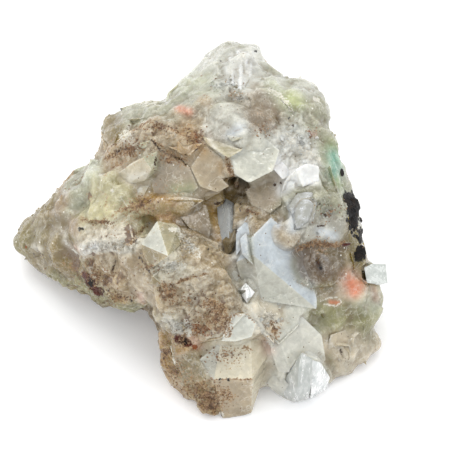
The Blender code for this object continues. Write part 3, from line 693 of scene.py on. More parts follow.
@dataclass(frozen=True)
class Spar:
    """A clear crystal set in the mass, by the corners that show and its depth in mm."""

    name: str
    finish: ClearSpar
    bed: Tone
    depth: float
    corners: tuple[tuple[float, float, float], ...]
    root_taper: float = 0.82
    edge: float = 0.12  # mm, how wide its edges are worn
    socket_play: float = 0.012  # how much wider its bed is
    above_table: float = 0.2  # mm

    def middle(self) -> Vector:
        """The middle of its visible corners."""
        tips = [display_point(*corner) for corner in self.corners]
        return sum(tips, Vector()) / len(tips)

    def hull(self) -> bmesh.types.BMesh:
        """Its convex shape, drawn in towards the root.

        Returns:
            The shape, closed and standing above the table.
        """
        tips = [display_point(*corner) for corner in self.corners]
        middle = self.middle()
        root = middle - NEAR * self.depth * MM
        shape = bmesh.new()
        for tip in tips:
            shape.verts.new(tip)
            shape.verts.new(root + (tip - middle) * self.root_taper)
        bmesh.ops.convex_hull(shape, input=shape.verts)
        inner = [vert for vert in shape.verts if not vert.link_faces]
        bmesh.ops.delete(shape, geom=inner, context="VERTS")
        bmesh.ops.dissolve_limit(
            shape, angle_limit=math.radians(1), verts=shape.verts, edges=shape.edges
        )
        everything = [*shape.verts, *shape.edges, *shape.faces]
        bmesh.ops.bisect_plane(
            shape,
            geom=everything,
            plane_co=(0, 0, self.above_table * MM),
            plane_no=(0, 0, -1),
            clear_outer=True,
        )
        bmesh.ops.holes_fill(shape, edges=shape.edges)
        bmesh.ops.recalc_face_normals(shape, faces=shape.faces)
        return shape

    def holds(self, points: np.ndarray, room: float) -> np.ndarray:
        """Finds the points that lie within the crystal or close to it.

        Args:
            points: one row of x, y and z for each, in metres.
            room: how near counts as within, mm.

        Returns:
            Whether each point does.
        """
        shape = self.hull()
        inside = np.ones(len(points), bool)
        for face in shape.faces:
            start = np.array(face.calc_center_median())
            inside &= (points - start) @ np.array(face.normal) < room * MM
        shape.free()
        return inside

    def cutter(self) -> bpy.types.Object:
        """The slightly wider shape that makes its bed in the mass.

        Returns:
            The shape, with its faces marked as bed.
        """
        shape = self.hull()
        centre = sum((vert.co for vert in shape.verts), Vector()) / len(shape.verts)
        wider = 1 + self.socket_play
        bmesh.ops.scale(
            shape,
            vec=(wider, wider, wider),
            space=Matrix4.Translation(-centre),
            verts=shape.verts,
        )
        for face in shape.faces:
            face.material_index = 1
        return mesh_object(self.name + "_bed", shape)

    def build(self) -> bpy.types.Object:
        """Makes the crystal with worn edges and dresses it.

        Returns:
            The finished piece.
        """
        shape = self.hull()
        bmesh.ops.bevel(
            shape,
            geom=shape.edges,
            affect="EDGES",
            offset=self.edge * MM,
            segments=2,
            profile=0.5,
            material=-1,
            clamp_overlap=True,
        )
        bmesh.ops.triangulate(shape, faces=shape.faces)
        bmesh.ops.recalc_face_normals(shape, faces=shape.faces)
        piece = mesh_object(self.name, shape)
        piece.data.materials.append(self.finish.material())
        report(piece)
        return piece


SPARS = (
    Spar("smoky_prism", ICY, Tone.GREY_BEIGE, 6, (
        (4.1, 46.2, 29.0), (6.0, 48.1, 29.0), (7.7, 47.0, 29.5), (8.2, 41.5, 29.0),
        (6.4, 36.9, 27.0), (4.5, 38.9, 27.5), (6.7, 45.5, 31.5), (6.7, 39.5, 29.8),
    )),
    Spar("dark_tip", SMOKY, Tone.OLIVE_WAX, 4, (
        (5.2, 39.1, 28.9), (8.0, 41.4, 30.2), (8.3, 39.1, 29.6), (7.2, 36.6, 28.0),
        (5.9, 35.7, 27.2), (7.0, 38.6, 30.0),
    )),
    Spar("bright_tip", BRIGHT, Tone.SNOW, 4, (
        (8.4, 28.4, 25.0), (10.3, 29.9, 26.5), (12.2, 27.9, 25.3), (10.5, 25.6, 24.5),
        (10.3, 28.4, 27.6),
    )),
    Spar("clear_tip", CLEAR, Tone.SNOW, 6, (
        (19.1, 10.1, 8.0), (22.3, 15.0, 13.0), (24.6, 13.6, 12.4), (24.4, 8.8, 9.6),
        (23.8, 5.0, 1.2), (20.6, 4.1, 0.4), (17.6, 6.0, 1.0), (21.4, 7.6, 7.6), (21.6, 11.6, 12.6),
    ), edge=0.2),
    Spar("clear_side", BRIGHT, Tone.SNOW, 5, (
        (24.2, 13.5, 11.9), (26.4, 12.8, 10.8), (28.4, 9.5, 4.8), (27.5, 6.9, 1.6),
        (24.1, 4.9, 0.6), (24.3, 9.0, 8.6), (26.3, 9.8, 9.3),
    ), edge=0.2),
    Spar("grey_window", GREY_GLASS, Tone.GLASS_GREY, 4, (
        (19.4, 46.4, 34.1), (21.3, 49.1, 35.3), (24.4, 49.6, 35.1), (25.6, 47.0, 34.4),
        (24.5, 42.5, 31.5), (21.1, 41.5, 32.6), (23.2, 46.4, 36.1), (22.7, 43.8, 34.9),
    ), edge=0.15),
    Spar("white_block", MILKY, Tone.WHITE, 5, (
        (35.7, 33.1, 19.5), (37.4, 34.0, 19.5), (40.4, 33.9, 17.5), (40.8, 29.8, 15.5),
        (38.7, 29.4, 15.5), (36.3, 29.9, 18.0),
    )),
)

Faces = dict[Habit, dict[Tone, tuple[Spot, ...]]]

# Faces of the display side: places on the sheet, by how the face was formed and by its colour as
# seen, with the light and shade that fall on it painted in. Where two lie on one facet, the first
# counts.
DISPLAY_FACES: Faces = {
    Habit.CRISP: {
        Tone.PALE_STONE: ((225, 352),),
        Tone.GREEN_GREY: ((150, 162),),
        Tone.CREAM: ((126, 176), (260, 372)),
        Tone.BROWN_TAN: ((168, 160),),
        Tone.GREY_BEIGE: ((172, 183), (262, 195)),
        Tone.SAND: ((207, 170), (238, 392)),
        Tone.CLEAR_GREY: ((155, 240), (275, 295), (252, 170), (240, 158)),
        Tone.GREY_OLIVE: ((170, 238), (222, 148)),
        # the small pyramid's lower facet: wax, darker for painted shade because it turns down from
        # the light
        Tone.WAX: ((151, 258),),
        Tone.TAUPE: ((198, 222),),
        Tone.OCHRE_WAX: ((213, 222),),
        Tone.GLASS_GREY: ((248, 285), (225, 368)),
        # the glossy table faces, coloured with the painted reflection of the softbox
        Tone.PAINTED_SOFTBOX_REFLECTION: ((265, 258), (288, 278), (243, 250)),
        Tone.SNOW: ((303, 173),),
        Tone.PINK_BEIGE: ((345, 345),),
        Tone.PALE_GREY: ((300, 340), (282, 366)),
        Tone.MILK: ((240, 328),),
    },
    Habit.SUGARY: {
        Tone.TAN: (
            (98, 268), (118, 285), (190, 246), (170, 300), (218, 290), (215, 320), (248, 215),
        ),
        Tone.PEARL: ((100, 246), (120, 240)),
        Tone.OLIVE: ((112, 300),),
        Tone.BEIGE: ((135, 145), (160, 132), (185, 128)),
        Tone.PALE_STONE: ((172, 266),),
        Tone.PINK_BEIGE: ((190, 290),),
        Tone.CREAM: ((180, 325),),
        Tone.MILK: ((290, 128),),
        Tone.WHITE: ((298, 148),),
        Tone.OCHRE_WAX: ((205, 395),),
    },
    Habit.WAXY: {
        Tone.WAX: ((25, 240), (40, 222), (60, 240), (110, 125), (185, 375)),
        # the first two lie on the arm's downturned faces: olive wax, darker for painted shade
        Tone.OLIVE_WAX: ((52, 262), (78, 272), (352, 240), (362, 262), (166, 350)),
        Tone.BROWN_TAN: ((66, 208),),
        Tone.PALE_GREEN: (
            (78, 206), (92, 175), (195, 90), (285, 92), (336, 168), (366, 300), (225, 414),
        ),
        Tone.GREEN_GREY: (
            (80, 190), (160, 108), (185, 100), (320, 110), (322, 130), (335, 205), (296, 195),
            (310, 312),
        ),
        Tone.YELLOW_GREEN: ((92, 205), (108, 188), (122, 205), (130, 222)),
        Tone.TAN: ((125, 262), (112, 148), (212, 255)),
        Tone.BEIGE: ((138, 285), (285, 236)),
        Tone.PALE_OLIVE: ((145, 112),),
        Tone.OCHRE_WAX: ((160, 206),),
        Tone.STONE: ((236, 265),),
        Tone.GLASS_GREY: ((225, 130), (318, 215), (328, 228), (300, 212)),
        Tone.CLEAR_GREY: (
            (238, 110), (212, 62), (222, 50), (218, 85), (270, 72), (305, 88), (290, 320),
        ),
        Tone.WHITE: ((242, 66),),
        Tone.GREY_BEIGE: ((262, 112),),
        Tone.OLIVE: ((335, 148), (332, 315), (366, 325)),
        Tone.SMOKE: ((320, 270), (308, 262), (335, 262)),
        Tone.PINK_BEIGE: ((350, 284), (368, 348), (335, 365), (340, 355)),
        Tone.PEARL: ((278, 318), (262, 325)),
    },
}

# Faces that the display side hides: bearings in degrees and heights in mm, in the same way.
HIDDEN_FACES: Faces = {
    Habit.CRISP: {
        Tone.CLEAR_GREY: ((20, 16),),
        Tone.GREY_BEIGE: ((55, 20), (150, 24)),
        Tone.BEIGE: ((85, 22),),
        Tone.GLASS_GREY: ((112, 26),),
    },
    Habit.SUGARY: {
        Tone.PINK_BEIGE: ((8, 8),),
        Tone.TAN: ((42, 10),),
        Tone.BROWN_TAN: ((100, 12), (235, 5)),
        Tone.OCHRE_WAX: ((160, 8),),
        Tone.OLIVE_WAX: ((205, 6),),
    },
    Habit.WAXY: {
        Tone.OLIVE: ((-20, 12),),
        Tone.GREEN_GREY: ((0, 24), (130, 30)),
        Tone.PALE_GREEN: ((35, 30), (95, 36)),
        Tone.MILK: ((68, 33),),
        Tone.OLIVE_WAX: ((75, 8),),
        Tone.TAN: ((122, 8), (270, 3)),
        Tone.YELLOW_GREEN: ((140, 16),),
        Tone.WAX: ((172, 14), (188, 8)),
        Tone.CLEAR_GREY: ((310, 4),),
    },
}


@dataclass(frozen=True)
class Mark:
    """A stain, crust or crack along a path on the display sheet. A few are painted glints and
    painted shade.

    reach is how far it goes from the path in mm, and sink how deep it is pressed in.
    """

    stain: Stain
    path: tuple[Spot, ...]
    reach: float
    amount: float = 1.0
    sink: float = 0.0


@dataclass(frozen=True)
class Tint:
    """A soft colour inside the calcite, along a path on the display sheet; some are painted
    reflections on its faces. reach is in mm.
    """

    stain: Stain
    path: tuple[Spot, ...]
    reach: float
    amount: float = 0.6


MARKS = (
    # the left arm
    Mark(Stain.RUST, ((25, 247),), 0.35),
    Mark(Stain.BLACK, ((80, 229), (83, 229)), 0.4),
    Mark(Stain.DARK, ((48, 247),), 0.35),
    Mark(Stain.DARK, ((33, 254),), 0.3),
    Mark(Stain.DARK, ((42, 255),), 0.3),
    Mark(Stain.WHITE, ((66, 243), (77, 253), (86, 254), (99, 250), (131, 251)), 0.3, 0.7, -0.2),
    Mark(Stain.BROWN, ((82, 219), (100, 223), (119, 211), (133, 205)), 0.6, 0.85),
    Mark(Stain.BROWN, ((104, 176), (112, 168), (122, 163)), 0.5, 0.8),
    Mark(Stain.BROWN, ((88, 195), (91, 200)), 0.6, 0.7),
    Mark(Stain.BROWN, ((98, 190), (108, 196), (104, 208)), 0.3, 0.7),
    Mark(Stain.DARK, ((116, 259), (111, 273)), 0.31, 1, 0.5),
    Mark(Stain.WHITE, ((105, 270),), 0.45),
    Mark(Stain.RED, ((86, 278), (91, 284), (97, 291)), 1.5),
    Mark(Stain.DARK, ((91, 282),), 0.7, 1, 0.3),
    Mark(Stain.DARK, ((140, 251), (148, 268)), 0.22, 1, 0.5),
    Mark(Stain.DARK, ((100, 293), (110, 290)), 0.2, 1, 0.2),
    Mark(Stain.BLACK, ((131, 301),), 0.35),
    Mark(Stain.BROWN, ((64, 264), (76, 270)), 0.9, 0.6),
    Mark(Stain.BROWN, ((100, 280), (108, 284)), 0.8, 0.7),
    # the upper left
    Mark(Stain.BLACK, ((120, 108.5),), 0.5),
    Mark(Stain.DARK, ((124.5, 131),), 0.4),
    Mark(Stain.BROWN, ((105, 158), (120, 153), (135, 155)), 0.7),
    Mark(Stain.DARK, ((115, 152), (125, 149), (134, 149)), 0.28, 1, 0.4),
    Mark(Stain.BROWN, ((118, 140), (150, 121), (175, 130), (190, 140), (203, 150)), 0.6, 0.8),
    Mark(Stain.DARK, ((156, 122), (170, 127)), 0.22, 1, 0.2),
    Mark(Stain.RUST, ((194, 134), (197, 142)), 0.6, 0.6),
    Mark(Stain.DARK, ((152, 140), (160, 150), (182, 160), (186, 165)), 0.25, 1, 0.3),
    Mark(Stain.DARK, ((185, 155), (197, 149)), 0.25, 1, 0.2),
    Mark(Stain.DARK, ((156, 158), (155, 170)), 0.4, 0.7),
    Mark(Stain.BROWN, ((152, 140), (168, 152), (186, 160)), 0.5, 0.9),
    Mark(Stain.BROWN, ((104, 158), (118, 152), (134, 149)), 0.5, 0.9),
    Mark(Stain.BROWN, ((162, 156), (180, 163)), 1.4, 0.55),
    Mark(Stain.WHITE, ((184, 173),), 0.35),
    Mark(Stain.WHITE, ((100, 175),), 0.5),
    Mark(Stain.WHITE, ((112, 190),), 0.5),
    Mark(Stain.WHITE, ((140, 190),), 0.6),
    Mark(Stain.BROWN, ((128, 210), (140, 203), (150, 201)), 1.0, 0.9),
    # the lower pyramid and what lies right of it
    Mark(Stain.WHITE, ((171, 229), (179, 230)), 0.6, 0.7),
    Mark(Stain.DARK, ((135, 241), (142, 231), (150, 222)), 0.25, 1, 0.4),
    Mark(Stain.BROWN, ((146, 227), (156, 217), (170, 215)), 0.5, 0.9),
    Mark(Stain.BROWN, ((131, 243), (137, 236), (144, 228)), 0.7, 0.8),
    Mark(Stain.DARK, ((140, 257), (150, 272)), 0.25, 1, 0.4),
    Mark(Stain.WHITE, ((184, 236), (197, 254)), 1.4, 0.55),
    Mark(Stain.BROWN, ((184, 257),), 0.5),
    Mark(Stain.BLACK, ((208, 249),), 0.35),
    Mark(Stain.WHITE, ((165, 265), (182, 266)), 1.2, 0.7),
    Mark(Stain.BROWN, ((178, 282), (190, 278), (207, 273)), 0.35, 1, 0.15),
    Mark(Stain.BROWN, ((227, 159), (231, 172), (237, 185)), 0.8, 1, 0.5),
    # a dark hollow: brown stain, deepened with painted shade
    Mark(Stain.DARK, ((216, 204), (224, 202)), 0.43, 0.7),
    Mark(Stain.DARK, ((235, 203), (236, 229)), 0.2, 1, 0.4),
    Mark(Stain.DARK, ((225, 248), (235, 232)), 0.5, 0.9),
    # a painted glint
    Mark(Stain.WHITE, ((251, 217),), 0.4),
    Mark(Stain.DARK, ((241, 204),), 0.35),
    Mark(Stain.DARK, ((240, 209),), 0.35),
    Mark(Stain.BROWN, ((258, 214),), 0.6),
    Mark(Stain.DARK, ((246, 190), (250, 187)), 0.25, 0.9),
    Mark(Stain.DARK, ((275, 185),), 0.35),
    Mark(Stain.DARK, ((281, 183),), 0.35),
    # the crown
    Mark(Stain.BLACK, ((256, 50.5),), 0.4),
    Mark(Stain.CHALK, ((230, 58), (233, 84)), 0.35, 0.9, -0.25),
    Mark(Stain.CHALK, ((238, 51), (241, 68), (240, 88)), 0.45, 1, -0.3),
    Mark(Stain.CHALK, ((246, 60), (245, 86)), 0.35, 0.9, -0.25),
    Mark(Stain.CHALK, ((252, 56), (250, 76)), 0.3, 0.8, -0.2),
    Mark(Stain.DARK, ((220, 60),), 0.4, 0.8),
    Mark(Stain.WHITE, ((270, 90), (282, 97), (292, 112)), 0.8, 0.65),
    Mark(Stain.BLACK, ((289, 118),), 0.3),
    Mark(Stain.DARK, ((293, 125),), 0.35),
    Mark(Stain.RUST, ((310, 131), (311, 137)), 0.4, 0.65),
    Mark(Stain.WHITE, ((292, 138), (300, 150), (315, 158)), 1.5, 0.6),
    Mark(Stain.WHITE, ((315, 98), (318, 100)), 0.6, 0.8),
    Mark(Stain.BROWN, ((205, 95), (209, 100)), 0.8, 0.6),
    Mark(Stain.BROWN, ((231, 94), (242, 95)), 0.7, 0.7),
    # the right edge
    Mark(Stain.BLACK, ((342, 171), (343, 174)), 0.5),
    Mark(Stain.BLACK, ((346, 196), (352, 197), (356, 204), (356, 214), (354, 225)), 0.9, 1, -0.2),
    Mark(Stain.BLACK, ((356, 228), (360, 236), (363, 242)), 0.35),
    Mark(Stain.BLACK, ((354, 236),), 0.45),
    Mark(Stain.BLACK, ((362, 250), (359, 258)), 1.0, 1, -0.15),
    Mark(Stain.DARK, ((319, 204),), 0.35),
    Mark(Stain.DARK, ((325, 215),), 0.4),
    Mark(Stain.DARK, ((317, 226), (325, 226)), 0.25, 0.9),
    Mark(Stain.BROWN, ((298, 249), (312, 243), (335, 245), (344, 243)), 0.7, 0.9),
    Mark(Stain.BROWN, ((297, 281), (312, 289), (332, 287), (345, 272)), 0.3, 0.5, 0.2),
    Mark(Stain.DARK, ((318, 262), (321, 269)), 0.5, 0.75),
    Mark(Stain.BLACK, ((320, 267),), 0.5, 0.8),
    Mark(Stain.RED, ((343, 245), (350, 244)), 0.35),
    Mark(
        Stain.WHITE,
        ((320, 301), (328, 298), (336, 297), (342, 302), (336, 306), (324, 304)),
        0.22, 0.8, -0.2,
    ),
    Mark(Stain.DARK, ((341, 350), (343, 357)), 0.25, 1, 0.5),
    # the lower right
    Mark(Stain.WHITE, ((246, 303), (258, 322), (272, 345)), 0.6, 1, -0.2),
    Mark(Stain.BROWN, ((271, 322), (277, 338)), 0.5, 0.9),
    # the middle and the foot
    Mark(Stain.BROWN, ((163, 285), (173, 300)), 1.0, 0.8),
    Mark(Stain.BROWN, ((206, 303), (222, 310), (228, 330)), 1.6, 0.85),
    Mark(Stain.BROWN, ((212, 304), (224, 309)), 1.2),
    Mark(Stain.RUST, ((191, 325), (207, 332)), 1.1, 0.6),
    Mark(Stain.RUST, ((195, 347),), 0.7),
    Mark(Stain.WHITE, ((167, 318), (178, 330)), 1.4, 0.85),
    Mark(Stain.WHITE, ((186, 322), (190, 334)), 0.8, 0.8),
    Mark(Stain.RED, ((178, 339), (184, 341), (188, 343)), 0.9, 1, 0.4),
    Mark(Stain.BLACK, ((184, 341),), 0.6),
    Mark(Stain.BROWN, ((232, 315), (248, 315), (260, 328)), 0.35, 0.9),
    Mark(Stain.BROWN, ((215, 353), (235, 359)), 0.8, 0.45),
    Mark(Stain.BROWN, ((243, 347), (250, 350)), 0.7, 0.7),
    Mark(Stain.BLACK, ((220, 379),), 0.35),
    Mark(Stain.BLACK, ((228.5, 379.5),), 0.4),
    Mark(Stain.BROWN, ((213, 379), (252, 379)), 0.3, 0.9),
    Mark(Stain.DARK, ((200, 361), (205, 361)), 0.2, 0.7),
    Mark(Stain.DARK, ((212, 361), (218, 363)), 0.2, 0.7),
    Mark(Stain.BROWN, ((184, 390), (205, 386), (228, 396), (214, 404)), 2.0, 0.75),
    Mark(Stain.BROWN, ((201, 405), (214, 407)), 1.0),
    Mark(Stain.BROWN, ((223, 393), (231, 397)), 0.8, 0.9),
    Mark(Stain.WHITE, ((221, 415), (229, 418)), 0.9, 0.7),
    Mark(Stain.WHITE, ((171, 346), (175, 364)), 0.4, 0.6),
)

TINTS = (
    Tint(Stain.OLIVE, ((13, 240), (22, 255), (45, 276), (75, 292)), 1.5, 0.43),
    Tint(Stain.PINK, ((75, 248), (79, 250)), 0.7, 0.72),
    Tint(Stain.OLIVE, ((96, 296), (115, 303), (130, 305)), 1.8, 0.65),
    Tint(Stain.OCHRE, ((112, 297), (124, 300)), 1.2, 0.58),
    Tint(Stain.PINK, ((140, 295), (143, 303)), 0.9, 0.65),
    Tint(Stain.OCHRE, ((186, 129), (195, 137), (200, 148)), 2.0, 0.61),
    Tint(Stain.SALMON, ((179, 108), (189, 112)), 0.95, 0.7),
    Tint(Stain.OCHRE, ((145, 199), (160, 197), (175, 199)), 1.1, 0.72),
    Tint(Stain.OCHRE, ((153, 219), (165, 218), (176, 221)), 0.9, 0.72),
    Tint(Stain.SMOKE, ((181, 223), (195, 233), (206, 240)), 1.4, 0.65),
    Tint(Stain.GREEN, ((175, 190), (190, 188)), 1.5, 0.43),
    Tint(Stain.SMOKE, ((230, 175), (247, 185)), 1.4, 0.4),
    Tint(Stain.OCHRE, ((212, 207), (215, 222), (219, 240)), 0.7, 0.50),
    Tint(Stain.OLIVE, ((208, 52), (224, 42), (242, 46)), 1.2, 0.50),
    Tint(Stain.OLIVE, ((270, 68), (276, 73)), 1.2, 0.50),
    Tint(Stain.LIME, ((290, 98), (296, 104)), 1.9, 0.68),
    Tint(Stain.OLIVE, ((290, 80), (297, 78)), 1.4, 0.50),
    Tint(Stain.PINK, ((314, 134),), 0.7, 0.72),
    Tint(Stain.OCHRE, ((201, 100), (208, 104)), 1.1, 0.50),
    Tint(Stain.GREEN, ((331, 146), (338, 152)), 1.6, 0.65),
    Tint(Stain.TEAL, ((334, 157), (336, 166), (335, 173)), 1.8, 0.85),
    Tint(Stain.GREEN, ((338, 180), (344, 192)), 1.4, 0.61),
    # painted reflection and highlight: bluish white gleams on glossy faces
    Tint(Stain.PAINTED_BLUE_GLEAM, ((320, 231), (334, 236)), 1.1, 0.7),
    Tint(Stain.PAINTED_BLUE_GLEAM, ((323, 256), (327, 260)), 0.5, 0.5),
    Tint(Stain.OLIVE, ((296, 253), (294, 266), (299, 279), (314, 288), (330, 286)), 1.0, 0.6),
    Tint(Stain.UMBER, ((300, 256), (300, 268), (306, 278), (318, 281), (330, 276)), 0.6, 0.5),
    Tint(Stain.SALMON, ((349, 279), (354, 291), (360, 285)), 2.0, 0.6),
    Tint(Stain.ORANGE, ((351, 284), (355, 291)), 1.2, 0.55),
    Tint(Stain.ORANGE, ((330, 302), (338, 303)), 0.5, 0.72),
    Tint(Stain.OLIVE, ((322, 309), (332, 318), (344, 314)), 1.9, 0.50),
    Tint(Stain.SMOKE, ((348, 305), (350, 326)), 0.8, 0.58),
    Tint(Stain.OLIVE, ((358, 312), (366, 322), (369, 336)), 1.9, 0.7),
    Tint(Stain.PINK, ((374, 288), (376, 298)), 1.1, 0.58),
    Tint(Stain.OLIVE, ((329, 358), (333, 368)), 1.1, 0.58),
    Tint(Stain.OCHRE, ((270, 328), (274, 332)), 0.9, 0.65),
    Tint(Stain.SMOKE, ((319.5, 353.6),), 0.4, 0.72),
    Tint(Stain.OLIVE, ((316, 313), (322, 318)), 1.2, 0.58),
    Tint(Stain.OCHRE, ((174, 333), (190, 331), (196, 344), (181, 350)), 1.2, 0.65),
    Tint(Stain.PINK, ((266, 342), (269, 350)), 1.4, 0.58),
    Tint(Stain.PINK, ((192, 338), (200, 346)), 1.1, 0.6),
    Tint(Stain.OCHRE, ((160, 335), (165, 360), (170, 378)), 1.5, 0.58),
    # windows and veils inside the crystals, and painted reflections on their faces
    Tint(Stain.OLIVE, ((322, 95), (328, 108), (328, 126)), 1.4, 0.4),
    Tint(Stain.SMOKE, ((240, 102), (258, 108), (276, 116)), 3.4, 0.4),
    Tint(Stain.UMBER, ((256, 118), (271, 124)), 2.0, 0.4),
    Tint(Stain.SMOKE, ((212, 138), (222, 140)), 1.2, 0.45),
    # painted reflection: bluish white gleams on glossy faces
    Tint(Stain.PAINTED_BLUE_GLEAM, ((231, 134), (240, 128)), 1.5, 0.6),
    Tint(Stain.PAINTED_BLUE_GLEAM, ((291, 205), (293, 228)), 1.3, 0.7),
    Tint(Stain.WHITE, ((207, 106), (205, 128), (214, 148), (224, 157)), 0.5, 0.6),
    Tint(Stain.WHITE, ((231, 160), (232, 174), (249, 183), (273, 172)), 0.4, 0.6),
    Tint(Stain.CHALK, ((285, 188), (300, 176), (314, 172)), 2.0, 0.85),
    Tint(Stain.CHALK, ((283, 191), (290, 182), (300, 174)), 1.5, 0.9),
    Tint(Stain.WHITE, ((58, 228), (65, 235)), 0.7, 0.6),
    Tint(Stain.WHITE, ((33, 246), (40, 249)), 0.7, 0.6),
    Tint(Stain.WHITE, ((64, 241), (77, 253), (86, 254), (99, 250), (131, 251)), 0.7, 0.8),
    Tint(Stain.WHITE, ((82, 248), (91, 249)), 1.1, 0.85),
    Tint(Stain.WHITE, ((95, 241), (128, 238)), 1.6, 0.5),
    Tint(Stain.WHITE, ((130, 178), (145, 176)), 1.0, 0.8),
    Tint(Stain.CHALK, ((231, 54), (236, 82)), 0.5, 0.7),
    Tint(Stain.CHALK, ((240, 50), (243, 84)), 0.6, 0.8),
    Tint(Stain.CHALK, ((248, 54), (248, 74)), 0.5, 0.7),
    Tint(Stain.CHALK, ((226, 66), (229, 84)), 0.4, 0.6),
    Tint(Stain.SMOKE, ((306, 258), (310, 272)), 2.2, 0.6),
    Tint(Stain.SMOKE, ((331, 277), (337, 264)), 1.8, 0.5),
    Tint(Stain.UMBER, ((312, 258), (322, 270)), 2.6, 0.8),
    Tint(Stain.DARK, ((319, 264), (321, 269)), 0.8, 0.8),
    Tint(Stain.UMBER, ((295, 252), (306, 246), (325, 245), (345, 247)), 0.8, 0.7),
    # painted reflection: a bluish white gleam
    Tint(Stain.PAINTED_BLUE_GLEAM, ((278, 226), (280, 221)), 0.6, 0.8),
    Tint(Stain.OLIVE, ((273, 213), (283, 198), (296, 191), (315, 188)), 0.9, 0.5),
    Tint(Stain.OLIVE, ((250, 236), (251, 262)), 0.7, 0.6),
    Tint(Stain.OCHRE, ((70, 262), (90, 272), (112, 284)), 4.0, 0.12),
    Tint(Stain.OLIVE, ((20, 240), (34, 232)), 2.6, 0.35),
    Tint(Stain.OLIVE, ((110, 186), (124, 200)), 2.4, 0.3),
    Tint(Stain.SMOKE, ((252, 194), (272, 192)), 2.0, 0.3),
    Tint(Stain.UMBER, ((302, 254), (318, 272), (334, 262)), 2.4, 0.3),
    Tint(Stain.OLIVE, ((354, 236), (362, 258)), 2.0, 0.3),
    Tint(Stain.SMOKE, ((325, 358), (331, 368)), 1.0, 0.5),
    Tint(Stain.CHALK, ((84, 250), (96, 246)), 1.0, 0.7),
    Tint(Stain.OCHRE, ((222, 166), (228, 180)), 1.2, 0.4),
)


# Brown earth on the display side: the middle of each patch, its reach in mm and how much there is.
EARTH: tuple[tuple[float, float, float, float], ...] = (
    (95, 272, 8.0, 0.3),
    (150, 148, 7.0, 0.3),
    (118, 152, 4.0, 0.45),
    (188, 138, 4.0, 0.45),
    (150, 130, 5.0, 0.25),
    (165, 205, 7.0, 0.35),
    (140, 206, 4.0, 0.5),
    (120, 225, 6.0, 0.35),
    (190, 290, 9.0, 0.1),
    (168, 292, 3.0, 0.5),
    (215, 318, 4.0, 0.5),
    (198, 328, 3.5, 0.5),
    (183, 341, 3.0, 0.55),
    (174, 372, 4.0, 0.42),
    (186, 387, 5.0, 0.5),
    (205, 396, 5.5, 0.52),
    (212, 405, 4.0, 0.66),
    (228, 356, 4.0, 0.35),
    (165, 350, 6.0, 0.45),
    (320, 244, 3.0, 0.4),
    (272, 328, 3.0, 0.3),
    (262, 120, 4.0, 0.25),
    (190, 245, 4.0, 0.25),
)

# Marks strewn where the display side doesn't show: stain, number and reach in mm.
HIDDEN_MARKS: tuple[tuple[Stain, int, Spot], ...] = (
    (Stain.BROWN, 26, (0.8, 2.6)),
    (Stain.OCHRE, 4, (0.6, 1.4)),
    (Stain.WHITE, 16, (0.6, 2.0)),
    (Stain.OLIVE, 8, (1.0, 2.4)),
    (Stain.DARK, 6, (0.2, 0.5)),
    (Stain.GREEN, 4, (1.0, 2.0)),
)


class Surface:
    """The surface of some pieces together, to find what lies under a place on the sheet."""

    def __init__(self, pieces: list[bpy.types.Object]) -> None:
        """Reads the pieces as they are now.

        Args:
            pieces: the pieces, at the origin.
        """
        shape = bmesh.new()
        for piece in pieces:
            shape.from_mesh(piece.data)
        self.tree = BVHTree.FromBMesh(shape)
        shape.free()

    def under(self, u: float, v: float) -> tuple[Vector, Vector, int] | None:
        """What the viewer sees at a place on the sheet.

        Args:
            u: how far right on the sheet.
            v: how far down on the sheet.

        Returns:
            The point, its normal and its face, or None beside the specimen.
        """
        eye = (sheet_place(u, v) + FOOT + NEAR * FAR) * MM
        place, normal, face, _ = self.tree.ray_cast(eye, -NEAR)
        return None if place is None else (place, normal, face)

    def beside(self, bearing: float, height: float) -> tuple[Vector, Vector, int] | None:
        """What is seen from a bearing at a height.

        Args:
            bearing: where it is looked at from, degrees.
            height: mm above the table.

        Returns:
            The point, its normal and its face, or None above the specimen.
        """
        turn = math.radians(bearing)
        way = Vector((math.cos(turn), math.sin(turn), 0))
        eye = (way * FAR + Vector((0, 0, height))) * MM
        place, normal, face, _ = self.tree.ray_cast(eye, -way)
        return None if place is None else (place, normal, face)


class Skin:
    """A mesh's points and edges as arrays, for work on all of them at once."""

    def __init__(self, mesh: bpy.types.Mesh) -> None:
        """Reads the mesh.

        Args:
            mesh: the mesh.
        """
        self.mesh = mesh
        self.points = self.read(mesh.vertices, "co", 3, np.float32).astype(float)
        self.ends = self.read(mesh.edges, "vertices", 2, np.int32)
        self.joined = np.bincount(self.ends.ravel(), minlength=len(self.points)) + 1

    @staticmethod
    def read(
        items: bpy.types.bpy_prop_collection, name: str, width: int, kind: type
    ) -> np.ndarray:
        """Reads one property of many items.

        Args:
            items: the items.
            name: the property's name.
            width: how many numbers it has.
            kind: their type.

        Returns:
            One row for each item.
        """
        values = np.empty(len(items) * width, kind)
        items.foreach_get(name, values)
        return values.reshape(-1, width)

    def normals(self) -> np.ndarray:
        """The normal at each point."""
        return self.read(self.mesh.vertex_normals, "vector", 3, np.float32).astype(float)

    def corners(self) -> np.ndarray:
        """The point at each corner of each face."""
        return self.read(self.mesh.loops, "vertex_index", 1, np.int32)[:, 0]

    def blurred(self, values: np.ndarray, passes: int) -> np.ndarray:
        """Averages each point's values with its neighbours'.

        Args:
            values: one row for each point.
            passes: how many times.

        Returns:
            The new values, one row for each point.
        """
        rows = values.reshape(len(self.points), -1).astype(float)
        first, second = self.ends.T
        for _ in range(passes):
            for column in rows.T:
                around = np.bincount(first, column[second], len(column))
                around += np.bincount(second, column[first], len(column))
                column += around
                column /= self.joined
        return rows

    def move(self, by: np.ndarray) -> None:
        """Moves each point by its own step, and none below the table.

        Args:
            by: the step of each, in metres.
        """
        self.points += by
        self.points[:, 2] = np.maximum(self.points[:, 2], 0)
        self.mesh.vertices.foreach_set("co", self.points.astype(np.float32).ravel())
        self.mesh.update()


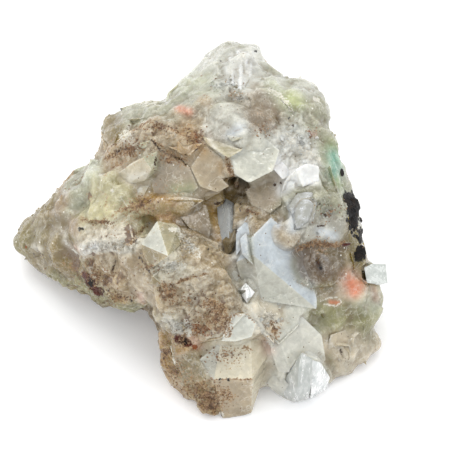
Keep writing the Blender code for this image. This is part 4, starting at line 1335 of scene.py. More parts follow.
def chance_of(centres: np.ndarray, salt: float) -> np.ndarray:
    """A fixed random number from 0 to 1 for each place, the same for equal places."""
    return np.mod(np.sin(centres @ np.array([12.9898, 78.233, 37.719]) + salt) * 43758.5453, 1)


def swell(points: np.ndarray, period: float) -> np.ndarray:
    """A smooth noise from about -1 to 1 that repeats about every so many mm."""
    scaled = points / (period * MM)
    return np.array([noise.fractal(Vector(point), 1.0, 2.1, 2) for point in scaled])


def blocks(points: np.ndarray, size: float) -> tuple[np.ndarray, np.ndarray]:
    """Small blocky crystals grown through each other.

    Args:
        points: one row of x, y and z for each, in metres.
        size: about how wide a crystal is, mm.

    Returns:
        How deep each point lies in its crystal, mm, and that crystal's middle.
    """
    scaled = points / (size * MM)
    near = np.array([[tuple(place) for place in noise.voronoi(Vector(p))[1]] for p in scaled])
    depth = np.full(len(points), -1.0)
    owner = near[:, 0].copy()
    for middles in near.transpose(1, 0, 2):
        axes = np.stack([chance_of(middles, salt) - 0.5 for salt in range(9)], 1)
        axes = axes.reshape(-1, 3, 3)
        axes /= np.linalg.norm(axes, axis=2)[:, :, None]
        inside = 0.6 - np.abs(np.einsum("nij,nj->ni", axes, scaled - middles)).max(1)
        deeper = inside > depth
        depth[deeper] = inside[deeper]
        owner[deeper] = middles[deeper]
    return np.maximum(depth, 0) * size, owner


class FaceMap:
    """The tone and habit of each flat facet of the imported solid."""

    flat_within = math.radians(1.5)
    turn_cost = 5.0  # mm, how much a facet turned away counts against a nearer seed

    def __init__(self, solid: bpy.types.Object) -> None:
        """Sorts the solid's faces into facets and gives each one its tone and habit.

        Args:
            solid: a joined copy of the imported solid.
        """
        shape = bmesh.new()
        shape.from_mesh(solid.data)
        bmesh.ops.triangulate(shape, faces=shape.faces)
        shape.normal_update()
        shape.faces.ensure_lookup_table()
        self.tree = BVHTree.FromBMesh(shape)
        self.surface = Surface([solid])
        seeds = self.seeds(self.surface)
        places = np.array([seed[0] / MM for seed in seeds])
        normals = np.array([seed[1] for seed in seeds])
        self.colour = np.zeros((len(shape.faces), 3))
        self.habit = np.zeros(len(shape.faces), int)
        self.facet = np.zeros(len(shape.faces), int)
        owner = {self.tree.find_nearest(seed[0])[2]: seed for seed in reversed(seeds)}
        for number, group in enumerate(self.groups(shape)):
            area = sum(face.calc_area() for face in group) + 1e-12
            centre = sum((f.calc_center_median() * f.calc_area() for f in group), Vector()) / area
            own = [owner[face.index] for face in group if face.index in owner]
            far = np.linalg.norm(places - np.array(centre / MM), axis=1)
            turned = 1 - normals @ np.array(group[0].normal)
            seed = own[0] if own else seeds[int(np.argmin(far + turned * self.turn_cost))]
            light = CRISP_LIGHT if seed[3] is Habit.CRISP else TENT_LIGHT
            for face in group:
                self.colour[face.index] = own_colour(seed[2].value, light)
                self.habit[face.index] = seed[3].value
                self.facet[face.index] = number
        shape.free()

    def seeds(self, surface: Surface) -> list[tuple[Vector, Vector, Tone, Habit]]:
        """Finds where the named faces lie.

        Args:
            surface: the solid's surface.

        Returns:
            The point, normal, tone and habit of each.
        """
        found = []
        for table, look in ((DISPLAY_FACES, surface.under), (HIDDEN_FACES, surface.beside)):
            for habit, tones in table.items():
                for tone, spots in tones.items():
                    hits = filter(None, (look(*spot) for spot in spots))
                    found += [(hit[0], hit[1], tone, habit) for hit in hits]
        return found

    def groups(self, shape: bmesh.types.BMesh) -> Iterator[list[bmesh.types.BMFace]]:
        """Gathers the faces that lie flat together.

        Args:
            shape: the solid.

        Returns:
            The groups, one after the other.
        """
        taken: set[int] = set()
        for first in shape.faces:
            if first.index in taken:
                continue
            taken.add(first.index)
            group = [first]
            for face in group:
                for edge in face.edges:
                    for other in edge.link_faces:
                        turned = other.normal.angle(first.normal, math.pi)
                        if other.index not in taken and turned < self.flat_within:
                            taken.add(other.index)
                            group.append(other)
            yield group

    def nearest(self, points: np.ndarray) -> np.ndarray:
        """The solid's face nearest to each point."""
        return np.array([self.tree.find_nearest(Vector(point))[2] for point in points])


def merged_copy(name: str) -> bpy.types.Object:
    """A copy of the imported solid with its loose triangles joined.

    Args:
        name: the copy's name.

    Returns:
        The copy, without a material.
    """
    shape = bmesh.new()
    shape.from_mesh(frame["nodes"][NODE].data)
    bmesh.ops.remove_doubles(shape, verts=shape.verts, dist=WELD)
    made = mesh_object(name, shape)
    for attribute in list(made.data.attributes):
        if attribute.name == "custom_normal" or attribute.name.startswith("UV"):
            made.data.attributes.remove(attribute)
    made.data.materials.clear()
    return made


def apply_modifiers(piece: bpy.types.Object) -> None:
    """Makes the piece's mesh what its modifiers give, and takes them off.

    Args:
        piece: the piece.
    """
    evaluated = piece.evaluated_get(bpy.context.evaluated_depsgraph_get())
    mesh = bpy.data.meshes.new_from_object(evaluated)
    piece.modifiers.clear()
    piece.data = mesh


@dataclass
class Crystals:
    """The crystals with flat faces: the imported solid, with beds for the clear ones."""

    name: str = "calcite_crystals"
    fine_edge: float = 0.6  # mm, longest edge on the display side
    coarse_edge: float = 1.6  # mm, longest edge elsewhere
    ripple: float = 0.03  # mm
    under: float = 1.0  # mm, how far what the matrix covers lies below it

    def build(self, facets: FaceMap, spars: tuple[Spar, ...]) -> bpy.types.Object:
        """Makes the crystals, not yet coloured.

        Args:
            facets: what grows where.
            spars: the clear crystals that they make room for.

        Returns:
            The piece. Faces of a bed have material 1.
        """
        piece = merged_copy(self.name)
        for part in ("skin", "bed"):
            piece.data.materials.append(bpy.data.materials.new(part))
        self.cut_beds(piece, spars)
        shape = bmesh.new()
        shape.from_mesh(piece.data)
        self.refine(shape, facets)
        bmesh.ops.smooth_vert(
            shape, verts=shape.verts, factor=0.35, use_axis_x=True, use_axis_y=True, use_axis_z=True
        )
        shape.to_mesh(piece.data)
        shape.free()
        skin = Skin(piece.data)
        corners = skin.corners().reshape(-1, 3)
        plain = skin.read(piece.data.attributes["plain"].data, "value", 1, np.int32)
        shown = np.zeros(len(skin.points))
        np.add.at(shown, corners, 1.0 - plain)
        under = skin.blurred(shown == 0, 1)[:, 0] * (shown == 0)
        lift = swell(skin.points, 4.0) * self.ripple - under * self.under
        skin.move(skin.normals() * (lift * MM)[:, None])
        return piece

    def cut_beds(self, piece: bpy.types.Object, spars: tuple[Spar, ...]) -> None:
        """Cuts a bed for each clear crystal.

        Args:
            piece: the crystals.
            spars: the clear crystals.
        """
        beds = bpy.data.collections.new("beds")
        bpy.context.scene.collection.children.link(beds)
        for spar in spars:
            cutter = spar.cutter()
            for part in piece.data.materials:
                cutter.data.materials.append(part)
            beds.objects.link(cutter)
        step = piece.modifiers.new("beds", "BOOLEAN")
        step.operation = "DIFFERENCE"
        step.solver = "EXACT"
        step.operand_type = "COLLECTION"
        step.collection = beds
        apply_modifiers(piece)
        for cutter in list(beds.objects):
            bpy.data.objects.remove(cutter)
        bpy.data.collections.remove(beds)

    def refine(self, shape: bmesh.types.BMesh, facets: FaceMap) -> None:
        """Splits long edges until the mesh can carry marks.

        Args:
            shape: the crystals.
            facets: what grows where.
        """
        bmesh.ops.triangulate(shape, faces=shape.faces)
        plain = shape.faces.layers.int.new("plain")
        for face in shape.faces:
            near = facets.tree.find_nearest(face.calc_center_median())[2]
            covered = facets.habit[near] != Habit.CRISP.value
            face[plain] = int(covered and face.material_index == 0)
        for _ in range(9):
            long = [edge for edge in shape.edges if self.too_long(edge, plain)]
            if not long:
                break
            bmesh.ops.subdivide_edges(shape, edges=long, cuts=1)
            wide = [face for face in shape.faces if len(face.verts) > 3]
            bmesh.ops.triangulate(shape, faces=wide)

    def too_long(self, edge: bmesh.types.BMEdge, plain: bmesh.types.BMLayerItem) -> bool:
        """Whether an edge is longer than the faces beside it allow.

        Args:
            edge: the edge.
            plain: where faces keep whether the matrix covers them.

        Returns:
            Whether it has to be split.
        """
        hidden = all(face[plain] or face.normal.dot(NEAR) < -0.05 for face in edge.link_faces)
        limit = self.coarse_edge if hidden else self.fine_edge
        return edge.calc_length() > limit * MM


@dataclass(frozen=True)
class Fill:
    """Where the matrix has grown higher: a place on the sheet, its reach and its height in mm."""

    u: float
    v: float
    reach: float
    height: float


FILLS = (
    Fill(239, 187, 3.4, 4.2), Fill(231, 170, 1.8, 2.0), Fill(284, 375, 2.0, 1.4),
    Fill(95, 177, 1.9, 0.8), Fill(82, 198, 2.1, 0.9), Fill(75, 209, 1.5, 0.7),
    Fill(115, 200, 2.5, 1.0), Fill(104, 188, 1.6, 0.6), Fill(113, 187, 1.0, 0.5),
    Fill(128, 196, 1.6, 0.6), Fill(92, 210, 1.6, 0.6),
    Fill(246, 186, 2.2, 2.2), Fill(322, 108, 3.6, 1.5), Fill(334, 146, 2.6, 1.1),
    Fill(266, 66, 2.4, 0.8), Fill(298, 82, 3.2, 1.0), Fill(222, 46, 3.0, 0.6),
    Fill(18, 240, 2.4, 0.6), Fill(362, 252, 2.4, 0.6), Fill(258, 141, 2.3, 1.3),
    Fill(206, 405, 2.3, 1.2), Fill(215, 410, 1.4, 0.8),
)


@dataclass
class Matrix:
    """The fine-grained calcite that the crystals stand in. It fills the gaps between them."""

    name: str = "calcite_matrix"
    voxel: float = 0.47  # mm
    gap: float = 1.0  # mm, half the width of what it fills
    cover: tuple[float, float, float] = (-0.5, 0.05, 0.1)  # mm over each habit's faces
    cover_behind: float = -0.12  # mm over crystal faces that the viewer doesn't see
    swells: tuple[tuple[float, float], ...] = ((6.0, 0.2), (2.2, 0.06))  # mm
    crisp_swell: Spot = (3.0, 0.3)  # mm, how its edge on crystal faces wavers
    melt_passes: int = 3  # how far the seams of the solid are rounded off
    seam_width: float = 0.12  # of a small crystal's size
    block_shade: float = 0.16  # how much lighter or darker one small crystal is than another
    blocks: tuple[tuple[float, float], ...] = ((6.0, 0.38), (2.6, 0.5), (1.3, 0.55))
    least_blocky: tuple[float, ...] = (0.95, 0.24, 0.0)  # share of each kind where it is waxy
    spar_room: float = 0.3  # mm left free round a clear crystal
    spar_depth: float = 0.9  # mm it lies deeper there

    def build(self, facets: FaceMap, spars: tuple[Spar, ...]) -> bpy.types.Object:
        """Makes the matrix, not yet coloured.

        Args:
            facets: what grows where.
            spars: the clear crystals, which it leaves free.

        Returns:
            The piece.
        """
        piece = merged_copy(self.name)
        self.close(piece)
        skin = Skin(piece.data)
        near = facets.nearest(skin.points)
        out = np.array(self.cover)[facets.habit[near]]
        behind = skin.normals() @ np.array(NEAR) < 0
        out[behind & (facets.habit[near] == Habit.CRISP.value)] = self.cover_behind
        out = skin.blurred(out, 4)[:, 0]
        sugar = skin.blurred(facets.habit[near] == Habit.SUGARY.value, 6)[:, 0]
        crisp = skin.blurred(facets.habit[near] == Habit.CRISP.value, 5)[:, 0]
        for period, height in self.swells:
            out += swell(skin.points, period) * height * (1 - 0.8 * crisp)
        period, height = self.crisp_swell
        out += swell(skin.points, period) * height * crisp
        for fill in FILLS:
            place = facets.surface.under(fill.u, fill.v)[0]
            away = np.linalg.norm(skin.points - np.array(place), axis=1) / (fill.reach * MM)
            out += fill.height * np.exp(-(away**2))
        skin.move(skin.normals() * (out * MM)[:, None])
        skin.move(skin.blurred(skin.points, self.melt_passes) - skin.points)
        out = np.zeros(len(skin.points))
        seam = np.zeros(len(skin.points))
        shade = np.ones(len(skin.points))
        shares = [(least + (1 - least) * sugar) * (1 - crisp) for least in self.least_blocky]
        for (size, height), share in zip(self.blocks, shares):
            depth, owner = blocks(skin.points, size)
            out += (depth - depth.mean()) * height * share
            seam = np.maximum(seam, (1 - depth / (size * self.seam_width)) * share)
            shade *= 1 + (chance_of(owner, 5.0) - 0.5) * self.block_shade * share
        for spar in spars:
            free = skin.blurred(spar.holds(skin.points, self.spar_room), 1)[:, 0]
            out = out * (1 - free) - self.spar_depth * free
        skin.move(skin.normals() * (out * MM)[:, None])
        write_amounts(piece.data, {"seam": np.clip(seam, 0, 1), "shade": shade})
        return piece

    def close(self, piece: bpy.types.Object) -> None:
        """Swells the solid until narrow gaps close, and shrinks it back.

        Args:
            piece: the merged copy.
        """
        for number, (voxel, push) in enumerate(
            ((0.9, self.gap), (0.8, -self.gap), (self.voxel, 0.0))
        ):
            remesh = piece.modifiers.new(f"skin_{number}", "REMESH")
            remesh.mode = "VOXEL"
            remesh.voxel_size = voxel * MM
            if push:
                swollen = piece.modifiers.new(f"push_{number}", "DISPLACE")
                swollen.mid_level = 0
                swollen.strength = push * MM
        smooth = piece.modifiers.new("smooth", "SMOOTH")
        smooth.factor = 0.5
        smooth.iterations = 4
        apply_modifiers(piece)


@dataclass
class Painter:
    """Keeps the tones, stains and relief in the meshes for the material to read."""

    facets: FaceMap
    surface: Surface
    tone_blend: int = 10
    fine_bend: float = 0.05  # mm
    broad_bend: float = 0.35  # mm
    # painted shade: what a broad hollow takes away from the colour
    painted_hollow_shade: Colour = (0.11, 0.15, 0.24)  # what a hollow takes away
    # painted light: what a broad crest adds to the colour
    painted_crest_light: float = 0.14  # what a crest adds
    unseen_heights: Spot = (3, 38)  # mm, where marks are strewn behind
    seed: int = 7

    def paint_crystals(self, piece: bpy.types.Object, spars: tuple[Spar, ...]) -> None:
        """Colours each flat face evenly, and the beds as their crystals need.

        Args:
            piece: the crystals.
            spars: the clear crystals.
        """
        skin = Skin(piece.data)
        centres = skin.read(piece.data.polygons, "center", 3, np.float32)
        near = self.facets.nearest(centres)
        chance = np.random.default_rng(self.seed)
        shade = chance.uniform(0.95, 1.05, self.facets.facet.max() + 1)
        tones = self.facets.colour[near] * shade[self.facets.facet[near]][:, None]
        in_bed = skin.read(piece.data.polygons, "material_index", 1, np.int32)[:, 0] == 1
        middles = np.array([spar.middle() for spar in spars])
        colours = np.array([linear(spar.bed.value) for spar in spars])
        away = np.linalg.norm(centres[in_bed][:, None] - middles, axis=2)
        tones[in_bed] = colours[away.argmin(1)]
        sides = skin.read(piece.data.polygons, "loop_total", 1, np.int32)[:, 0]
        self.sink(skin)
        self.paint(skin, np.repeat(tones, sides, axis=0), np.zeros(len(skin.points)))

    def paint_matrix(self, piece: bpy.types.Object) -> None:
        """Colours the matrix with tones that run into each other.

        Args:
            piece: the matrix.
        """
        skin = Skin(piece.data)
        near = self.facets.nearest(skin.points)
        tones = skin.blurred(self.facets.colour[near], self.tone_blend)
        sugar = skin.blurred(self.facets.habit[near] == Habit.SUGARY.value, 6)[:, 0]
        tones *= skin.read(piece.data.attributes["shade"].data, "value", 1, np.float32)
        self.sink(skin)
        self.paint(skin, tones[skin.corners()], 0.25 + 0.75 * sugar)

    def paint_grains(self, piece: bpy.types.Object, each: int) -> None:
        """Colours grains like what they grow on, each with its own shade.

        Args:
            piece: the joined grains.
            each: how many points each grain has.
        """
        skin = Skin(piece.data)
        tones = self.facets.colour[self.facets.nearest(skin.points[::each])]
        chance = np.random.default_rng(self.seed)
        tones = np.repeat(tones * chance.uniform(0.9, 1.4, (len(tones), 1)), each, axis=0)
        self.paint(skin, tones[skin.corners()], np.full(len(skin.points), 0.3), bent=False)

    def shown(self, drawn: tuple[Mark | Tint, ...]) -> list[tuple[Mark | Tint, np.ndarray]]:
        """Lays what is drawn on the display side onto the mass.

        Args:
            drawn: marks or tints.

        Returns:
            Each that hits the mass, with its path as across, up and near in mm.
        """
        found = []
        for mark in drawn:
            hits = [self.surface.under(*spot) for spot in mark.path]
            points = [place for place, _, _ in filter(None, hits)]
            if points:
                found.append((mark, on_sheet(np.array(points))))
        return found

    def marks(self) -> list[tuple[Mark, np.ndarray]]:
        """Gathers the marks of all sides.

        Returns:
            Each mark with its path as across, up and near in mm.
        """
        found = self.shown(MARKS)
        chance = random.Random(self.seed)
        for stain, count, reach in HIDDEN_MARKS:
            for _ in range(count):
                bearing = chance.uniform(*BEHIND)
                height = chance.uniform(*self.unseen_heights)
                ends = [
                    self.surface.beside(bearing, height),
                    self.surface.beside(
                        bearing + chance.uniform(-5, 5), height + chance.uniform(-4, 4)
                    ),
                ]
                if all(ends) and all(end[1].dot(NEAR) < 0.1 for end in ends):
                    points = on_sheet(np.array([end[0] for end in ends]))
                    found.append((Mark(stain, (), chance.uniform(*reach), 0.7), points))
        return found

    def sink(self, skin: Skin) -> None:
        """Presses the cracks in.

        Args:
            skin: the piece's mesh.
        """
        depth = np.zeros(len(skin.points))
        sheet = on_sheet(skin.points)
        for mark, path in self.marks():
            if mark.sink:
                near = self.nearness(sheet, path, mark.reach)
                depth += near**2 * mark.sink
        skin.move(-skin.normals() * (depth * MM)[:, None])

    def nearness(self, sheet: np.ndarray, path: np.ndarray, reach: float) -> np.ndarray:
        """How near points lie to a path, from 0 at one and a half times its reach to 1."""
        return np.clip(1.5 - path_distance(sheet, path, reach * 1.5) / reach, 0, 1)

    def paint(
        self, skin: Skin, tones: np.ndarray, sugar: np.ndarray, bent: bool = True
    ) -> None:
        """Writes what the material reads into the mesh.

        Args:
            skin: the piece's mesh.
            tones: the linear colour of each corner.
            sugar: how sugary each point is.
            bent: whether its crests and crevices show, and whether painted light on broad crests
                and painted shade in broad hollows go into its tones.
        """
        count = len(skin.points)
        sheet = on_sheet(skin.points)
        stain = np.full((count, 3), 0.3)
        amount = np.zeros(count)
        earth = np.zeros(count)
        for u, v, reach, most in EARTH:
            flat = sheet_place(u, v)
            away = np.hypot(sheet[:, 0] - flat.x, sheet[:, 1] - flat.dot(UP)) / reach
            earth = np.maximum(earth, most * np.clip(1.6 - 1.2 * away, 0, 1))
        for mark, path in self.marks():
            near = self.nearness(sheet, path, mark.reach)
            if mark.stain is Stain.BROWN:
                earth = np.maximum(earth, near * mark.amount * 0.8)
                continue
            hit = near > 0
            share = np.minimum(1, near[hit, None] * 2)
            own = own_colour(mark.stain.value, sheen=DULL_SHEEN)
            stain[hit] = stain[hit] * (1 - share) + own * share
            amount[hit] = np.maximum(amount[hit], near[hit] * mark.amount)
        corners = skin.corners()
        for tint, path in self.shown(TINTS):
            away = path_distance(sheet, path, tint.reach * 2) / tint.reach
            share = (tint.amount * np.exp(-(away**2)))[corners, None]
            tones = tones * (1 - share) + own_colour(tint.stain.value) * share
        crest = crevice = np.zeros(count)
        if bent:
            crest, crevice = self.bends(skin, 2, self.fine_bend)
            # painted light on broad crests and painted shade in broad hollows
            out, deep = self.bends(skin, 16, self.broad_bend)
            tones = tones * (1 + self.painted_crest_light * out[corners, None])
            tones = tones * (1 - deep[corners, None] * np.array(self.painted_hollow_shade))
        write_colours(skin.mesh, "tone", "CORNER", tones)
        write_colours(skin.mesh, "stain", "POINT", stain)
        kept = {
            "stain_amount": amount,
            "earth": earth,
            "sugar": sugar,
            "crest": crest,
            "crevice": crevice,
        }
        write_amounts(skin.mesh, kept)

    def bends(self, skin: Skin, passes: int, full: float) -> tuple[np.ndarray, np.ndarray]:
        """How much each point stands out and how much it lies in.

        Args:
            skin: the piece's mesh.
            passes: how wide the reach is.
            full: how far in or out counts as 1, mm.

        Returns:
            The two amounts of each point, from 0 to 1.
        """
        inward = ((skin.blurred(skin.points, passes) - skin.points) * skin.normals()).sum(1) / MM
        return np.clip(-inward / full, 0, 1), np.clip(inward / full, 0, 1)


def write_colours(mesh: bpy.types.Mesh, name: str, domain: str, colours: np.ndarray) -> None:
    """Keeps linear colours in the mesh.

    Args:
        mesh: the mesh.
        name: the attribute's name.
        domain: CORNER or POINT.
        colours: one row of red, green and blue for each.
    """
    kept = mesh.color_attributes.new(name=name, type="FLOAT_COLOR", domain=domain)
    rows = np.ones((len(colours), 4), np.float32)
    rows[:, :3] = colours
    kept.data.foreach_set("color", rows.ravel())


def write_amounts(mesh: bpy.types.Mesh, amounts: dict[str, np.ndarray]) -> None:
    """Keeps one number for each point of the mesh, under each name.

    Args:
        mesh: the mesh.
        amounts: the numbers under each name.
    """
    for name, values in amounts.items():
        channel = mesh.attributes.new(name, "FLOAT", "POINT")
        channel.data.foreach_set("value", values.astype(np.float32))


def on_sheet(points: np.ndarray) -> np.ndarray:
    """Points in metres as across, up and near in mm, near counted less.

    Args:
        points: one row of x, y and z for each.

    Returns:
        One row for each, from the foot of the sheet.
    """
    from_foot = points / MM - np.array(FOOT)
    return from_foot @ np.array([RIGHT, UP, NEAR * 0.4]).T


def path_distance(points: np.ndarray, path: np.ndarray, most: float) -> np.ndarray:
    """How far points lie from a path.

    Args:
        points: the points, one a row.
        path: the path's points, one a row.
        most: the distance beyond which it doesn't matter.

    Returns:
        The distances, with a large one for what is farther than most.
    """
    far = np.full(len(points), 1e3)
    low, high = path.min(0) - most, path.max(0) + most
    near = np.flatnonzero(((points > low) & (points < high)).all(1))
    if not len(near):
        return far
    close = points[near]
    best = np.linalg.norm(close - path[0], axis=1)
    for start, end in zip(path, path[1:]):
        way = end - start
        along = np.clip((close - start) @ way / max(way @ way, 1e-9), 0, 1)
        best = np.minimum(best, np.linalg.norm(close - start - along[:, None] * way, axis=1))
    far[near] = best
    return far


class GrainShape(Enum):
    """Shapes of small grains."""

    RHOMB = "rhomb"
    FLAKE = "flake"


@dataclass(frozen=True)
class Drift:
    """Grains strewn over an ellipse of the display sheet: its middle, half sides and number."""

    u: float
    v: float
    wide: float
    high: float
    count: int


@dataclass
class GrainCoat:
    """Grains of one kind, grown on the mass."""

    name: str
    finish: Grains | MassiveCalcite
    form: GrainShape
    size: tuple[float, float]  # mm
    drifts: tuple[Drift, ...]
    hidden: int = 0  # how many grow where the display side doesn't show
    sunk: float = 0.1  # how far a grain's middle lies under the surface, by its size
    clumps: int = 26  # around which the hidden ones grow
    clump_heights: Spot = (3, 36)  # mm
    seed: int = 11
    batch: int = 250

    def build(self, surface: Surface, painter: Painter) -> bpy.types.Object:
        """Strews the grains over the surface and joins them to one piece.

        Args:
            surface: the finished surface of the mass.
            painter: colours grains of massive calcite like what they grow on.

        Returns:
            The finished piece.
        """
        chance = random.Random(self.seed)
        whole = bmesh.new()
        places = list(self.places(surface, chance))
        for start in range(0, len(places), self.batch):
            some = bmesh.new()
            for place, normal in places[start : start + self.batch]:
                self.grain(some, place, normal, chance)
            mesh = bpy.data.meshes.new("some_grains")
            some.to_mesh(mesh)
            some.free()
            whole.from_mesh(mesh)
            bpy.data.meshes.remove(mesh)
        piece = mesh_object(self.name, whole)
        if isinstance(self.finish, MassiveCalcite):
            painter.paint_grains(piece, len(piece.data.vertices) // len(places))
        piece.data.materials.append(self.finish.material())
        report(piece)
        return piece

    def places(
        self, surface: Surface, chance: random.Random
    ) -> Iterator[tuple[Vector, Vector]]:
        """Strews the grains.

        Args:
            surface: the finished surface of the mass.
            chance: the source of the places.

        Returns:
            The point and the normal of each.
        """
        for drift in self.drifts:
            for _ in range(drift.count):
                turn = chance.uniform(0, math.tau)
                out = abs(chance.gauss(0, 0.55))
                found = surface.under(
                    drift.u + drift.wide * out * math.cos(turn),
                    drift.v + drift.high * out * math.sin(turn),
                )
                if found:
                    yield found[:2]
        middles = [
            (chance.uniform(*BEHIND), chance.uniform(*self.clump_heights))
            for _ in range(self.clumps)
        ]
        for _ in range(self.hidden):
            bearing, height = chance.choice(middles)
            found = surface.beside(bearing + chance.gauss(0, 3), height + chance.gauss(0, 2))
            if found and found[1].dot(NEAR) < 0.3:
                yield found[:2]

    def grain(
        self, shape: bmesh.types.BMesh, place: Vector, normal: Vector, chance: random.Random
    ) -> None:
        """Adds one grain, a little sunk in the surface.

        Args:
            shape: the bmesh that takes it.
            place: where it grows.
            normal: the surface's normal there.
            chance: the source of its size and turn.
        """
        size = chance.uniform(*self.size) * MM
        spin = Quaternion((0, 0, 1), chance.uniform(0, math.tau))
        if self.form is GrainShape.FLAKE:
            turn = normal.to_track_quat("Z", "Y") @ spin
        else:
            axis = Vector(chance.gauss(0, 1) for _ in range(3)).normalized()
            turn = Quaternion(axis, chance.uniform(0, math.tau))
        at = Matrix4.Translation(place - normal * size * self.sunk) @ turn.to_matrix().to_4x4()
        if self.form is GrainShape.RHOMB:
            lean = Matrix4(((1, 0.28, 0.2, 0), (0, 1, 0.24, 0), (0, 0, 0.9, 0), (0, 0, 0, 1)))
            bmesh.ops.create_cube(shape, size=size, matrix=at @ lean)
        else:
            bmesh.ops.create_cone(
                shape,
                cap_ends=True,
                segments=6,
                radius1=size,
                radius2=size * 0.7,
                depth=size * 0.45,
                matrix=at,
            )


COATS = (
    GrainCoat("druse", CALCITE, GrainShape.RHOMB, (0.4, 1.0), (
        Drift(110, 246, 24, 7, 40), Drift(302, 138, 24, 20, 24), Drift(268, 320, 12, 14, 40),
        Drift(190, 248, 12, 12, 26), Drift(178, 326, 12, 10, 26),
    ), hidden=160, sunk=0.4, seed=10),
    GrainCoat("brown_grains", BROWN_GRAINS, GrainShape.RHOMB, (0.12, 0.32), (
        Drift(190, 300, 38, 30, 110), Drift(168, 292, 8, 10, 110), Drift(216, 318, 14, 16, 200),
        Drift(200, 328, 12, 8, 140), Drift(183, 341, 12, 9, 90), Drift(207, 395, 26, 14, 330),
        Drift(212, 405, 12, 6, 150), Drift(176, 372, 9, 14, 110),
        Drift(226, 354, 24, 9, 80), Drift(95, 275, 36, 16, 220), Drift(102, 222, 14, 4, 80),
        Drift(140, 205, 14, 7, 140), Drift(170, 160, 14, 8, 80), Drift(130, 148, 26, 9, 140),
        Drift(160, 128, 26, 7, 100), Drift(194, 138, 10, 12, 120), Drift(274, 330, 6, 11, 70),
        Drift(262, 130, 14, 10, 40), Drift(250, 211, 9, 7, 50), Drift(320, 244, 26, 5, 120),
        Drift(120, 298, 18, 8, 130), Drift(166, 355, 8, 20, 100), Drift(310, 134, 8, 8, 16),
        Drift(150, 266, 14, 8, 60), Drift(330, 212, 18, 16, 60), Drift(225, 80, 24, 20, 8),
    ), hidden=900, seed=11),
    GrainCoat("sugar_grains", CALCITE, GrainShape.RHOMB, (0.2, 0.45), (
        Drift(178, 326, 12, 8, 90), Drift(186, 244, 9, 12, 90), Drift(172, 266, 12, 5, 70),
        Drift(268, 318, 12, 12, 120), Drift(300, 142, 20, 18, 60), Drift(112, 244, 20, 4, 110),
        Drift(222, 84, 16, 8, 70), Drift(325, 208, 12, 12, 90), Drift(240, 98, 12, 6, 30),
    ), hidden=500, seed=12),
    GrainCoat("black_flakes", BLACK_FLAKES, GrainShape.FLAKE, (0.35, 0.9), (
        Drift(348, 197, 5, 4, 90), Drift(354, 206, 6, 10, 280), Drift(354, 220, 4.5, 8, 200),
        Drift(361, 252, 5, 6, 140), Drift(360, 236, 2.5, 6, 40), Drift(342, 172, 1.5, 3, 14),
        Drift(91, 283, 4, 5, 8), Drift(184, 341, 3, 3, 10),
    ), seed=13),
)


@dataclass(frozen=True)
class OpalSheet:
    """Matt white opal sheet, faintly lit from below: its shadows stay pale and soft."""

    name: str = "acrylic_opal_matt"
    colour: str = "F7F7F8"
    glow: float = 0.12

    def material(self) -> bpy.types.Material:
        """Builds the material.

        Returns:
            The material.
        """
        made = bpy.data.materials.new(self.name)
        made.use_nodes = True
        shader = made.node_tree.nodes["Principled BSDF"]
        shader.inputs["Base Color"].default_value = rgba(self.colour)
        shader.inputs["Roughness"].default_value = 0.95
        shader.inputs["Specular IOR Level"].default_value = 0.1
        shader.inputs["Emission Color"].default_value = rgba(self.colour)
        shader.inputs["Emission Strength"].default_value = self.glow
        return made


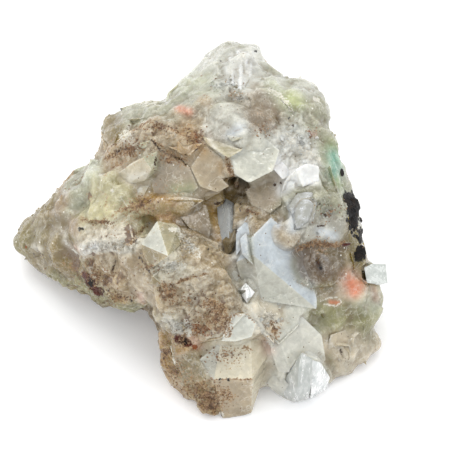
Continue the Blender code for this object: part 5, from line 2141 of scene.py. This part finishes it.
@dataclass
class Studio:
    """The floor, the light and the camera."""

    floor_side: float = 6.0
    sky: float = 1.22
    key_watts: float = 5.0
    key_place: tuple[float, float, float] = (-0.35, 0.5, 1.0)
    key_side: float = 0.7
    glint_watts: float = 1.1
    glint_place: tuple[float, float, float] = (0.25, 0.15, 1.1)
    glint_side: float = 0.14
    camera_distance: float = 3.5

    def build(self) -> None:
        """Makes all of it."""
        self.floor()
        self.light()
        self.camera()

    def floor(self) -> None:
        """A pale floor that the specimen stands on."""
        shape = bmesh.new()
        bmesh.ops.create_grid(shape, x_segments=1, y_segments=1, size=self.floor_side / 2)
        floor = mesh_object("studio_floor", shape)
        floor.data.materials.append(OpalSheet().material())

    def light(self) -> None:
        """An even white tent with one large softbox above and behind."""
        world = bpy.data.worlds.new("tent")
        world.use_nodes = True
        tent = world.node_tree.nodes["Background"]
        tent.inputs["Color"].default_value = (0.97, 0.985, 1.0, 1)
        tent.inputs["Strength"].default_value = self.sky
        bpy.context.scene.world = world
        self.softbox("softbox", self.key_watts, self.key_side, self.key_place)
        self.softbox("glint", self.glint_watts, self.glint_side, self.glint_place)
        bpy.context.scene.view_settings.view_transform = "Standard"

    def softbox(
        self, name: str, watts: float, side: float, place: tuple[float, float, float]
    ) -> None:
        """Adds one square softbox that faces the specimen.

        Args:
            name: its name.
            watts: its power.
            side: its side, m.
            place: where it hangs, m.
        """
        box = bpy.data.lights.new(name, "AREA")
        box.energy = watts
        box.size = side
        box.color = (1.0, 0.985, 0.96)
        lamp = bpy.data.objects.new(name, box)
        lamp.location = place
        lamp.rotation_euler = (-Vector(place)).to_track_quat("-Z", "Y").to_euler()
        lamp.visible_camera = False
        bpy.context.scene.collection.objects.link(lamp)

    def camera(self) -> None:
        """A long lens that looks down at the display side."""
        lens = bpy.data.cameras.new("camera")
        lens.sensor_width = 36
        lens.lens = 36 * self.camera_distance / (SHEET_SIDE * SHEET_MM * MM)
        lens.clip_end = 20
        lens.dof.use_dof = False
        camera = bpy.data.objects.new("camera", lens)
        middle = (sheet_place(*SHEET_MIDDLE) + FOOT) * MM
        camera.location = middle + NEAR * self.camera_distance
        camera.rotation_euler = NEAR.to_track_quat("Z", "Y").to_euler()
        bpy.context.scene.collection.objects.link(camera)
        bpy.context.scene.camera = camera


def main() -> None:
    """Builds the specimen and its studio."""
    logging.basicConfig(level=logging.INFO, format="%(message)s")
    solid = merged_copy("solid")
    facets = FaceMap(solid)
    bpy.data.objects.remove(solid)
    crystals = Crystals().build(facets, SPARS)
    matrix = Matrix().build(facets, SPARS)
    spars = [spar.build() for spar in SPARS]
    painter = Painter(facets, Surface([crystals, matrix, *spars]))
    painter.paint_crystals(crystals, SPARS)
    painter.paint_matrix(matrix)
    for piece in (crystals, matrix):
        piece.data.materials.clear()
        piece.data.materials.append(CALCITE.material())
        report(piece)
    matrix.data.shade_smooth()
    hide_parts(NODE)
    surface = Surface([crystals, matrix])
    for coat in COATS:
        coat.build(surface, painter)
    Studio().build()


if __name__ == "__main__":
    main()
